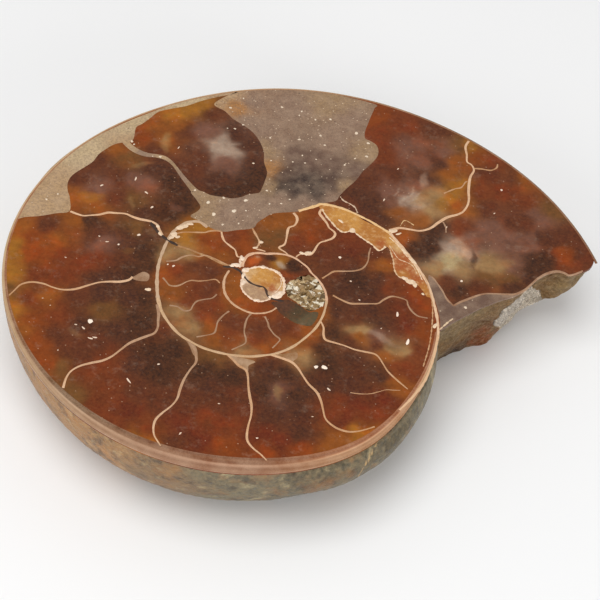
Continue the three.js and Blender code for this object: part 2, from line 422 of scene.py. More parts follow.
broken, tree, surface, tint, place = new_material("broken stone")
fine = grain(tree, place, 0.3, 6, 0.7, 0.38, 0.62)
blotches = grain(tree, place, 1.3, 5, 0.65, 0.4, 0.6)
streaks = grain(tree, place, 0.6, 5, 0.65, 0.45, 0.65, (0.62, (0.35, 1.0, 1.4)))
colour = mixed(tree, ranged(tree, blotches, 0, 0.45), tint, (122, 84, 34))
colour = mixed(tree, ranged(tree, streaks, 0, 0.5), colour, (232, 202, 154))
colour = mixed(tree, ranged(tree, fine, 0.0, 0.5), colour, (86, 52, 24))
tree.links.new(colour, surface.inputs["Base Color"])
tree.links.new(ranged(tree, fine, 0.35, 0.75), surface.inputs["Roughness"])
bumped(tree, surface, grain(tree, place, 0.5, 8, 0.75), 0.7)

POCKET_MIDDLE = (21.9, 7.3, 5.9)
POCKET_SIZE = (2.4, 1.4, 3.5)
POCKET_TILT = 0.38
POCKET_TURN = 0.62


def pocket(shrink, material):
    """The sugary pocket as an egg, smaller than the real one all round by shrink."""
    bpy.ops.mesh.primitive_uv_sphere_add(segments=48, ring_count=32, radius=0.001)
    made = bpy.context.object
    size = Matrix.Diagonal([s - shrink for s in POCKET_SIZE] + [1])
    spin = Matrix.Rotation(POCKET_TURN, 4, "Z") @ Matrix.Rotation(POCKET_TILT, 4, "X")
    at = Matrix.Translation((np.array(POCKET_MIDDLE) + MIDDLE) / 1000)
    made.data.transform(at @ spin @ size)
    made.data.materials.append(material)
    return made


unbroken = coil_solid("unbroken", FIRST_GROWTH, weathered)
lost_part = cut(wall_grid(broken), coil_solid("inner_coil", UNBROKEN_GROWTH, weathered), "lost_part")
body = cut(unbroken, lost_part, "body")
whole = body.copy()
whole.data = body.data.copy()
bpy.context.scene.collection.objects.link(whole)
body = cut(body, pocket(0.15, broken), "body")
chamber = block("hollow", np.array(HOLLOW), THICKNESS - HOLLOW_DEPTH, THICKNESS + 1, broken)
body = cut(body, chamber, "shell_half")

# The tones of the side at places on the plan, darkest along the near side towards the break, and of the
# break along it and up it.
STONE = {
    "cream": (198, 172, 132),
    "buff": (184, 150, 110),
    "straw": (216, 176, 114),
    "clay": (200, 150, 86),
    "tan": (158, 126, 90),
    "ochre": (170, 114, 54),
    "orange": (214, 108, 36),
    "brown": (120, 84, 46),
    "mauve": (144, 114, 92),
    "dusk": (106, 78, 62),
    "slate": (88, 82, 60),
    "moss": (62, 58, 42),
    "umber": (76, 52, 40),
    "soot": (46, 30, 22),
}
SIDE_TONES = [
    # the near side, from the left round to the break
    (-26, -6, "ochre"), (-22, -13, "ochre"), (-16, -18, "ochre"), (-10, -20, "brown"),
    (-4, -21, "slate"), (2, -19, "moss"), (8, -14, "moss"), (12, -8, "slate"), (10, -2, "slate"),
    # the back, round the navel
    (-14, -8, "brown"), (-8, -12, "brown"), (-2, -10, "moss"), (4, -6, "moss"), (4, 3, "slate"),
    (-4, 0, "umber"), (-8, 6, "umber"), (0, 10, "brown"), (16, 5, "tan"), (10, 12, "tan"),
    # the left and the far side
    (-20, 0, "tan"), (-26, 6, "buff"), (-20, 12, "tan"), (-14, 18, "tan"), (-6, 24, "buff"),
    (4, 26, "tan"), (12, 22, "brown"), (20, 18, "tan"), (26, 12, "buff"), (18, 10, "cream"),
]
BREAK_TONES = [
    # along the break and up it, from the notch to the tip
    (14.6, 9.0, "straw"), (15.0, 1.4, "cream"), (15.2, 4.0, "clay"), (16.0, 6.0, "straw"),
    (16.6, 0.8, "umber"), (17.4, 1.6, "brown"), (17.0, 3.5, "clay"), (17.5, 8.8, "straw"),
    (18.2, 1.5, "orange"), (19.6, 1.6, "orange"), (19.4, 3.4, "orange"), (18.8, 5.0, "ochre"),
    (20.2, 8.6, "clay"), (20.8, 3.0, "straw"), (22.6, 2.0, "cream"), (23.8, 9.6, "clay"),
    (24.8, 3.4, "ochre"), (24.6, 7.4, "clay"), (25.4, 6.0, "clay"), (25.8, 9.6, "ochre"),
    (26.4, 8.8, "straw"), (27.4, 7.0, "straw"), (28.4, 9.6, "straw"),
]


def washed(spots, touches, palette, reach=1.0):
    """Tones of a palette, touched on at points and run softly together."""
    total = np.zeros((len(spots), 3))
    weight = np.zeros(len(spots))
    for *at, name in touches:
        tone = palette[name]
        away = ((spots[:, : len(at)] - np.array(at)) ** 2).sum(axis=1)
        share = 1 / (away + 0.3 * reach**2) ** 2
        total += share[:, None] * linear(tone)
        weight += share
    found = total / weight[:, None]
    return 255 * np.where(found <= 0.0031308, found * 12.92, 1.055 * found ** (1 / 2.4) - 0.055)


def shifted(spots, size, amount, seed=0.0):
    """The same points, pushed about, so that tones meet along wandering lines."""
    moved = spots.copy()
    moved[:, 0] += amount * hash_noise(spots, size, seed)
    moved[:, 1] += amount * hash_noise(spots, size, seed + 20)
    return moved


mesh = body.data
spots = np.zeros(len(mesh.vertices) * 3)
mesh.vertices.foreach_get("co", spots)
spots = spots.reshape(-1, 3) * 1000 - MIDDLE
tints = washed(shifted(spots, 3.0, 2.2), SIDE_TONES, STONE, 3.0)
on_break = np.zeros(len(spots), bool)
for face in mesh.polygons:
    if mesh.materials[face.material_index] == broken:
        on_break[list(face.vertices)] = True
along = shifted(spots, 1.2, 0.8)
tints[on_break] = washed(along[on_break][:, [0, 2]], BREAK_TONES, STONE, 1.2)
store = mesh.color_attributes.get("tint") or mesh.color_attributes.new("tint", "FLOAT_COLOR", "POINT")
store.data.foreach_set("color", np.column_stack([linear(tints), np.ones(len(tints))]).ravel())
mesh.shade_smooth()
mesh.set_sharp_from_angle(angle=math.radians(40))
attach(body, "root")
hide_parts("ammonite_half")

# --- The crystal in the chambers ---------------------------------------------------------------
# Translucent calcite that grew in the empty chambers, ground flat and polished: dark smoke and
# plum beside the whorl inside, red and rust across the middle, honey under the outer wall.
TONES = {
    "smoke": (42, 27, 22),
    "plum": (64, 36, 28),
    "mahogany": (86, 42, 26),
    "cherry": (96, 34, 18),
    "rust": (112, 48, 20),
    "orange": (134, 60, 14),
    "amber": (146, 80, 24),
    "honey": (168, 110, 32),
    "straw": (162, 128, 84),
    "olive": (110, 74, 36),
    "cloud": (120, 82, 68),
    # pale cloudy calcite, and in places a painted sheen: pale reflection on the polish
    "frost_and_sheen": (180, 158, 138),
    "sage": (184, 164, 118),
    "flame": (190, 92, 36),
}
CHAMBER_TONES = [
    # the left chamber, between the two long septa
    (-29.4, 4.6, "amber"), (-29.3, 1.5, "honey"), (-29.0, -2.5, "honey"), (-28.6, -4.4, "olive"),
    (-27.5, 3.5, "orange"), (-27.0, 0.5, "orange"), (-26.5, -2.0, "rust"), (-26.2, 5.2, "mahogany"),
    (-25.4, 3.3, "amber"), (-24.0, 1.0, "rust"), (-23.8, -1.6, "rust"), (-24.2, 6.4, "amber"),
    (-22.4, 6.6, "smoke"), (-21.4, 4.6, "mahogany"), (-21.0, 1.4, "rust"), (-20.6, 3.6, "cloud"),
    (-19.4, -0.6, "plum"), (-18.6, 2.0, "mahogany"), (-18.0, 5.0, "plum"), (-16.4, 3.6, "smoke"),
    (-15.6, 1.8, "smoke"), (-17.4, 0.4, "smoke"), (-17.6, 7.0, "olive"), (-15.8, 6.0, "plum"),
    # the next one down
    (-28.0, -6.4, "honey"), (-26.8, -9.6, "amber"), (-26.2, -5.0, "rust"), (-24.6, -4.2, "amber"),
    (-25.2, -7.8, "orange"), (-24.6, -11.0, "orange"), (-23.0, -13.0, "orange"), (-23.2, -6.6, "rust"),
    (-22.6, -9.4, "mahogany"), (-21.0, -11.4, "mahogany"), (-21.6, -13.6, "olive"), (-20.6, -7.6, "plum"),
    (-19.4, -9.8, "mahogany"), (-18.6, -5.0, "olive"), (-17.2, -7.6, "plum"), (-16.6, -3.2, "plum"),
    (-15.2, -3.2, "smoke"), (-15.0, -6.2, "smoke"), (-22.0, -4.0, "mahogany"), (-19.6, -3.0, "plum"),
    # then the three that lie along the near side
    (-12.8, -6.4, "mahogany"), (-11.4, -9.0, "smoke"), (-13.6, -9.4, "smoke"), (-12.4, -12.0, "smoke"),
    (-15.2, -11.4, "plum"), (-17.2, -11.6, "rust"), (-19.4, -13.6, "rust"), (-17.0, -14.8, "rust"),
    (-14.4, -14.6, "mahogany"), (-12.0, -15.6, "mahogany"), (-14.2, -17.6, "cherry"),
    (-17.4, -17.6, "rust"), (-20.2, -16.4, "olive"), (-15.4, -19.4, "rust"), (-12.6, -19.4, "rust"),
    (-12.6, -20.8, "honey"),
    (-7.6, -9.2, "olive"), (-8.0, -10.8, "smoke"), (-5.6, -11.2, "smoke"), (-7.2, -13.2, "plum"),
    (-8.8, -14.8, "mahogany"), (-6.0, -15.0, "mahogany"), (-4.4, -13.0, "mahogany"),
    (-7.0, -17.2, "rust"), (-9.6, -17.8, "cherry"), (-4.8, -17.6, "rust"), (-7.6, -19.6, "cherry"),
    (-4.8, -19.8, "orange"), (-10.0, -20.4, "mahogany"),
    (-2.4, -9.4, "plum"), (-0.6, -10.2, "smoke"), (0.6, -12.4, "smoke"), (-2.2, -12.6, "smoke"),
    (-0.6, -12.4, "cloud"), (1.8, -14.6, "plum"), (-1.4, -15.4, "plum"), (1.8, -17.2, "plum"),
    (-1.8, -18.2, "cherry"), (0.4, -18.6, "cherry"), (-1.0, -20.0, "orange"), (2.4, -19.2, "orange"),
    # beside the break
    (2.4, -6.2, "smoke"), (0.8, -7.2, "straw"), (3.6, -8.0, "smoke"), (6.2, -7.6, "plum"),
    (6.0, -10.2, "plum"), (3.6, -10.2, "plum"), (8.8, -8.6, "plum"), (9.4, -11.4, "cherry"),
    (7.2, -12.8, "cherry"), (4.8, -13.4, "rust"), (6.2, -14.8, "cherry"), (8.6, -13.4, "rust"),
    (10.6, -9.4, "amber"), (6.0, -17.0, "amber"), (7.8, -16.0, "honey"), (5.2, -18.4, "amber"),
    (3.8, -1.0, "plum"), (3.4, -3.6, "smoke"), (5.4, -1.6, "mahogany"), (7.4, -0.8, "plum"),
    (9.4, -1.0, "mahogany"), (8.0, -2.2, "plum"), (11.0, -1.2, "cherry"), (12.6, -1.6, "orange"),
    (6.4, -3.2, "straw"), (6.6, -3.8, "amber"), (8.4, -3.4, "cloud"), (8.2, -4.4, "mahogany"),
    (10.2, -4.7, "straw"), (12.2, -4.8, "rust"), (11.0, -6.8, "rust"), (5.8, -4.8, "mahogany"),
    (12.6, -7.6, "rust"), (9.4, -5.7, "amber"), (12.9, -9.6, "amber"),
    # the middle whorl, from the break back
    (4.4, 2.4, "plum"), (6.8, 2.4, "plum"), (5.4, 3.8, "smoke"), (7.8, 4.6, "plum"),
    (9.2, 3.8, "rust"), (11.4, 3.4, "orange"), (12.4, 1.4, "orange"), (9.6, 1.0, "mahogany"),
    (8.0, 6.2, "amber"), (7.2, 7.8, "mahogany"), (11.8, 0.8, "rust"), (6.6, 0.2, "plum"),
    (3.6, 5.8, "mahogany"), (2.0, 7.2, "mahogany"), (4.6, 8.0, "cherry"), (4.4, 9.6, "rust"),
    (0.4, 9.2, "orange"), (0.6, 11.2, "orange"), (-1.0, 8.2, "rust"), (1.4, 9.8, "rust"),
    (-1.4, 6.8, "mahogany"), (-3.8, 10.4, "amber"), (-3.0, 8.4, "olive"), (-4.4, 7.4, "olive"),
    (-2.6, 11.4, "amber"), (-6.6, 7.2, "orange"), (-7.8, 7.6, "rust"), (-6.4, 5.8, "orange"),
    (-10.4, 6.4, "orange"), (-9.0, 5.4, "orange"), (-12.4, 6.0, "honey"), (-11.2, 8.0, "honey"),
    (-12.4, 4.6, "straw"), (-10.6, 4.6, "amber"), (-8.6, 4.4, "amber"), (-11.0, 2.6, "mahogany"),
    (-12.8, 1.6, "rust"), (-9.0, 2.0, "mahogany"), (-13.8, 3.4, "straw"), (-13.9, 1.2, "amber"),
    (-12.8, -1.6, "amber"), (-10.4, -0.8, "rust"), (-11.2, -2.4, "rust"), (-9.0, -0.6, "mahogany"),
    (-9.2, -3.0, "rust"), (-9.6, -4.4, "rust"), (-11.8, -4.0, "straw"), (-10.2, -5.6, "straw"),
    (-8.6, -5.4, "amber"), (-6.4, -4.2, "mahogany"), (-6.6, -5.8, "rust"), (-7.6, -7.0, "amber"),
    (-5.4, -7.0, "orange"), (-3.8, -4.4, "mahogany"), (-3.4, -6.0, "rust"), (-4.6, -7.6, "straw"),
    (-2.6, -7.0, "amber"), (-1.0, -3.8, "mahogany"), (0.0, -4.8, "rust"), (1.4, -3.8, "amber"),
    (0.4, -5.6, "amber"), (2.2, -1.4, "amber"),
    # the ring round the first chamber
    (-6.8, -0.4, "amber"), (-5.4, -1.8, "amber"), (-3.8, -1.9, "orange"), (-7.0, 1.4, "amber"),
    (-5.2, 4.5, "orange"), (-4.0, 4.6, "mahogany"), (-2.6, 4.6, "honey"), (-0.8, 4.2, "plum"),
    (-1.8, 3.4, "rust"),
    # the far left, above the mud
    (-24.6, 12.6, "mahogany"), (-23.0, 15.6, "mahogany"), (-22.0, 17.8, "amber"), (-20.0, 16.4, "olive"),
    (-24.4, 9.4, "amber"), (-22.0, 9.0, "amber"), (-22.4, 11.8, "cloud"), (-20.8, 13.4, "mahogany"),
    (-18.6, 10.6, "olive"), (-18.0, 13.2, "cloud"), (-16.6, 15.6, "plum"), (-15.0, 13.8, "smoke"),
    (-13.6, 10.6, "smoke"), (-15.0, 9.2, "smoke"), (-17.4, 9.0, "plum"), (-20.0, 10.6, "mahogany"),
    (-19.2, 20.4, "orange"), (-18.4, 22.2, "amber"), (-16.0, 24.6, "honey"), (-14.0, 26.2, "honey"),
    (-15.6, 22.8, "amber"), (-16.6, 20.2, "amber"), (-17.6, 18.8, "mahogany"), (-14.4, 21.8, "mahogany"),
    (-12.6, 22.8, "cloud"), (-12.4, 25.4, "mahogany"), (-10.7, 20.6, "frost_and_sheen"), (-9.8, 19.8, "frost_and_sheen"),
    (-9.4, 22.6, "plum"), (-7.8, 21.0, "plum"), (-7.0, 18.8, "plum"), (-9.6, 17.8, "cloud"),
    (-12.6, 18.6, "mahogany"), (-13.0, 16.4, "mahogany"), (-10.6, 15.4, "plum"), (-9.8, 13.9, "smoke"),
    (-7.4, 15.0, "smoke"), (-6.2, 17.2, "smoke"),
    # far right, up to the septum that crosses the living end
    (5.2, 28.6, "orange"), (6.2, 25.8, "rust"), (8.8, 28.0, "rust"), (12.0, 27.8, "mahogany"),
    (14.6, 26.4, "olive"), (7.0, 22.8, "rust"), (9.4, 24.8, "cloud"), (10.6, 22.8, "cloud"),
    (7.8, 20.2, "mahogany"), (5.4, 18.2, "mahogany"), (4.2, 16.2, "plum"), (6.4, 16.0, "plum"),
    (7.6, 17.6, "cloud"), (9.0, 17.0, "cloud"), (10.6, 18.8, "cloud"), (11.4, 20.2, "plum"),
    # painted sheen: the pale tone round (10, 17) stands for reflection on the polish
    (12.2, 23.2, "plum"), (10.4, 16.0, "frost_and_sheen"), (12.6, 17.4, "straw"), (12.0, 15.0, "straw"),
    (14.2, 17.8, "honey"), (15.2, 16.6, "amber"), (13.8, 21.4, "amber"), (14.6, 19.8, "honey"),
    (13.0, 24.8, "cloud"), (14.6, 23.4, "amber"), (8.8, 14.6, "amber"), (7.4, 13.4, "plum"),
    (5.4, 14.6, "plum"), (3.6, 14.5, "mahogany"), (11.2, 13.8, "amber"),
    # the open end
    (12.2, 11.2, "smoke"), (11.2, 9.2, "smoke"), (13.2, 12.8, "smoke"), (9.8, 11.4, "amber"),
    # painted sheen: the pale tone round (15, 10) stands for reflection on the polish
    (15.0, 10.6, "frost_and_sheen"), (15.8, 9.4, "frost_and_sheen"), (14.2, 8.2, "frost_and_sheen"), (13.4, 7.2, "straw"),
    (16.2, 7.4, "straw"), (18.8, 8.6, "straw"), (21.0, 9.0, "cloud"), (18.6, 7.0, "olive"),
    (20.8, 7.4, "olive"), (23.6, 9.4, "smoke"), (24.2, 10.6, "smoke"), (22.8, 7.6, "plum"),
    (21.0, 6.2, "plum"), (17.8, 5.6, "mahogany"), (15.8, 4.6, "smoke"), (14.4, 5.4, "mahogany"),
    (16.8, 11.6, "cloud"), (15.4, 13.4, "rust"), (18.4, 13.8, "cloud"), (20.4, 12.2, "cloud"),
    (22.6, 12.6, "cloud"), (21.6, 15.6, "mahogany"), (18.2, 16.8, "mahogany"), (17.2, 19.4, "rust"),
    (19.8, 20.0, "rust"), (17.6, 22.2, "mahogany"), (20.4, 21.8, "mahogany"), (22.4, 18.8, "rust"),
    (23.8, 16.6, "cloud"), (25.6, 14.6, "mahogany"), (27.8, 13.6, "mahogany"), (26.6, 11.6, "orange"),
    (28.4, 11.8, "mahogany"), (24.4, 13.2, "plum"), (16.6, 24.9, "orange"), (18.2, 24.6, "rust"),
    (25.0, 18.2, "olive"), (21.6, 21.9, "amber"), (16.0, 26.0, "honey"),
]
# Small features in the crystal: middle, half length, half width, turn in degrees, tone, strength.
CHAMBER_PATCHES = [
    (-25.2, 3.3, 0.6, 1.1, 10, "amber", 0.5), (-20.9, 3.6, 1.5, 0.6, 15, "cloud", 0.5),
    (-18.0, 3.1, 0.5, 0.4, 0, "olive", 0.6), (-15.7, 6.3, 0.5, 0.9, 20, "straw", 0.4),
    (-21.0, -8.4, 1.2, 0.5, -40, "straw", 0.4), (-18.6, -4.8, 1.4, 0.8, 0, "olive", 0.5),
    (-0.6, -12.4, 0.3, 0.9, 25, "straw", 0.7), (6.3, -3.1, 1.3, 0.7, 10, "straw", 0.9),
    (6.5, -3.7, 0.5, 0.4, 0, "amber", 0.8), (8.6, -3.5, 1.5, 0.35, -14, "frost_and_sheen", 0.5),
    (10.4, -4.7, 1.3, 0.5, -8, "straw", 0.8), (8.2, -4.5, 0.9, 0.4, 0, "mahogany", 0.7),
    (7.7, 6.6, 0.8, 1.0, 0, "amber", 0.8), (0.4, -7.5, 1.0, 0.5, 10, "straw", 0.8),
    (-2.2, 4.6, 0.9, 0.4, -24, "frost_and_sheen", 0.9), (-5.1, 4.4, 0.9, 0.5, 20, "flame", 0.9),
    (-1.8, 3.4, 0.4, 0.6, 0, "flame", 0.7), (-4.9, 4.7, 0.3, 0.2, 0, "frost_and_sheen", 0.7),
    (-0.6, 4.2, 0.7, 0.5, -40, "smoke", 0.9), (-1.9, 3.3, 0.4, 0.7, 0, "rust", 0.7),
    (-10.7, 20.6, 1.1, 1.0, 0, "frost_and_sheen", 0.8), (-9.8, 19.9, 0.9, 0.6, 30, "frost_and_sheen", 0.7),
    (-12.6, 22.2, 1.6, 1.0, 20, "cloud", 0.6), (-10.0, 17.9, 1.4, 0.8, 10, "cloud", 0.6),
    (-16.4, 20.2, 0.7, 0.9, 0, "straw", 0.6), (-9.2, 22.6, 1.0, 0.7, 0, "plum", 0.6),
    # painted sheen: the pale patches and thin streaks round (10, 17) and (15, 10) below are reflection on
    # the polish
    (9.6, 17.0, 0.7, 1.4, -25, "frost_and_sheen", 0.7), (11.3, 19.8, 0.5, 1.4, -5, "frost_and_sheen", 0.6),
    (12.4, 22.6, 0.7, 1.6, 0, "plum", 0.5), (11.0, 16.8, 1.0, 1.6, -45, "straw", 0.6),
    (7.4, 16.4, 0.5, 1.0, 0, "cloud", 0.6), (13.6, 17.0, 1.6, 0.8, 45, "honey", 0.6),
    (15.4, 10.5, 0.75, 0.95, -8, "frost_and_sheen", 0.95), (14.7, 8.6, 1.7, 1.3, 20, "sage", 0.9),
    (12.6, 10.6, 0.9, 2.4, -14, "smoke", 0.95), (17.2, 9.2, 0.3, 1.4, 16, "smoke", 0.6),
    (9.4, 17.2, 0.14, 1.5, -24, "frost_and_sheen", 0.9), (10.0, 16.6, 0.12, 1.3, -34, "frost_and_sheen", 0.8),
    (8.6, 17.4, 0.12, 1.0, -12, "frost_and_sheen", 0.6), (10.6, 17.6, 0.12, 0.9, -40, "frost_and_sheen", 0.7),
    (-10.2, 20.2, 1.5, 0.3, 12, "frost_and_sheen", 0.8), (-9.4, 21.0, 1.1, 0.25, 24, "frost_and_sheen", 0.6),
    (-16.6, 19.4, 0.4, 1.2, 6, "straw", 0.5), (-18.4, 15.8, 1.2, 0.4, 20, "straw", 0.5),
    (-22.8, 10.2, 1.4, 0.6, 14, "honey", 0.5), (-18.8, 10.0, 0.3, 1.0, 8, "straw", 0.5),
    (-19.2, 13.8, 0.3, 0.7, 10, "cloud", 0.8), (-14.0, 10.4, 0.4, 0.9, 20, "cloud", 0.6),
    (-3.6, 5.1, 0.5, 0.4, 0, "smoke", 0.95), (-1.0, 4.9, 0.7, 0.5, -30, "smoke", 0.9),
    (13.4, 7.4, 0.7, 1.0, 0, "straw", 0.7), (16.4, 8.4, 1.0, 0.7, 20, "straw", 0.6),
    (19.2, 9.0, 2.2, 0.7, 8, "straw", 0.7), (22.4, 12.6, 1.6, 1.4, 0, "cloud", 0.5),
    (23.7, 9.4, 0.9, 1.3, -30, "smoke", 0.8), (12.4, 11.2, 0.8, 1.6, -20, "smoke", 0.7),
    (26.6, 11.8, 1.2, 1.6, -10, "orange", 0.7), (-11.0, 8.1, 1.1, 0.5, 8, "honey", 0.8),
    (-24.2, 6.5, 0.9, 0.6, 10, "amber", 0.6), (-22.4, 6.6, 1.0, 0.5, 0, "smoke", 0.6),
]


def slab(loop, top, thickness, spacing, holes=()):
    """A thin plate over a loop, with points all over its upper face for paint."""
    loops = [counterclockwise(each) for each in (loop, *holes)]
    corner, far = loops[0].min(axis=0), loops[0].max(axis=0)
    gx, gy = np.meshgrid(np.arange(corner[0], far[0], spacing), np.arange(corner[1], far[1], spacing))
    gx[::2] += spacing / 2
    grid = np.column_stack([gx.ravel(), gy.ravel()])
    keep = inside(grid, loops[0])
    for hole in loops[1:]:
        keep &= ~inside(grid, hole)
    flat, faces = triangles(loops, grid[keep])
    sparse, under = triangles(loops, NO_POINTS)
    points = np.vstack([
        np.column_stack([flat, np.full(len(flat), top)]),
        np.column_stack([sparse, np.full(len(sparse), top - thickness)]),
    ])
    parts, first, below = [faces, under[:, ::-1] + len(flat)], 0, len(flat)
    for number, edge in enumerate(loops):
        ring = np.arange(len(edge))
        wall = band(ring + below + first, ring + first)
        parts.append(wall if number == 0 else wall[:, ::-1])
        first += len(edge)
    return points, np.vstack(parts)


def evenly(points, spacing, closed=False):
    """A smooth line through given points, resampled at even steps."""
    points = np.asarray(points, float)
    if closed:
        points = np.vstack([points, points[:1]])
    fine = spline(points, np.linspace(0, len(points) - 1, 24 * len(points)))
    run = np.concatenate([[0], np.cumsum(np.hypot(*np.diff(fine, axis=0).T))])
    count = max(2, round(run[-1] / spacing) + 1)
    at = np.linspace(0, run[-1], count)
    line = np.column_stack([np.interp(at, run, fine[:, 0]), np.interp(at, run, fine[:, 1])])
    return line[:-1] if closed else line


def face_outline(spacing=0.2):
    """Round the cut face: along the outer wall from the tip back to the notch, then the break."""
    growth = np.arange(FIRST_GROWTH, 354, 0.2)
    turn = np.radians(growth)
    rim = POLE + np.column_stack([np.cos(turn), np.sin(turn)]) * wall_radius(growth)[:, None]
    edge = spline(np.array(BREAK_EDGE), np.linspace(1.15, len(BREAK_EDGE) - 1, 400))
    beyond = inside(rim, np.vstack([BREAK_EDGE, PAST_THE_BREAK]))
    rim = rim[~(beyond & (growth < UNBROKEN_GROWTH))]
    outer, radius = polar(edge)
    edge = edge[radius < wall_radius(outer)]
    whole = np.vstack([rim, edge])
    run = np.concatenate([[0], np.cumsum(np.hypot(*np.diff(whole, axis=0).T))])
    at = np.arange(0, run[-1], spacing)
    return np.column_stack([np.interp(at, run, whole[:, 0]), np.interp(at, run, whole[:, 1])])


outline = face_outline()
hollow_edge = evenly(HOLLOW, 0.2, closed=True)
points, faces = slab(outline, THICKNESS, VENEER, 0.21, [hollow_edge])
spots = shifted(points, 1.6, 0.7)
spots = shifted(spots, 0.5, 0.16, 40)
tints = washed(spots, CHAMBER_TONES, TONES, 1.3)
for x, y, length, width, turn, tone, strength in CHAMBER_PATCHES:
    c, d = math.cos(math.radians(turn)), math.sin(math.radians(turn))
    across, down = spots[:, 0] - x, spots[:, 1] - y
    away = ((across * c + down * d) / length) ** 2 + ((down * c - across * d) / width) ** 2
    share = strength * np.exp(-(away**2.5))
    tints = blend(tints, np.array(TONES[tone], float), share[:, None])

calcite, tree, surface, tint, place = new_material("polished calcite")
clouds = grain(tree, place, 1.4, 6, 0.65)
fibres = grain(tree, place, 0.28, 5, 0.65, 0.3, 0.7)
veils = grain(tree, place, 1.0, 6, 0.7, 0.56, 0.74)
embers = grain(tree, place, 3.0, 6, 0.6, 0.5, 0.72)
colour = mixed(tree, ranged(tree, clouds, 0.0, 0.5), tint, (30, 15, 10))
colour = mixed(tree, ranged(tree, embers, 0.0, 0.42), colour, (250, 176, 96), "OVERLAY")
colour = mixed(tree, ranged(tree, fibres, 0.0, 0.2), colour, (166, 96, 48))
colour = mixed(tree, ranged(tree, veils, 0.0, 0.26), colour, (160, 130, 108))
colour = mixed(tree, ranged(tree, dots(tree, place, 0.5, 0.14, 0.2), 0, 0.55), colour, (196, 160, 130))
tree.links.new(colour, surface.inputs["Base Color"])
tree.links.new(ranged(tree, clouds, 0.1, 0.2), surface.inputs["Roughness"])
surface.inputs["Specular IOR Level"].default_value = 0.18
bumped(tree, surface, fibres, 0.003)
chambers = make_piece("chamber_calcite", points, faces, tints, calcite)
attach(chambers, "root")

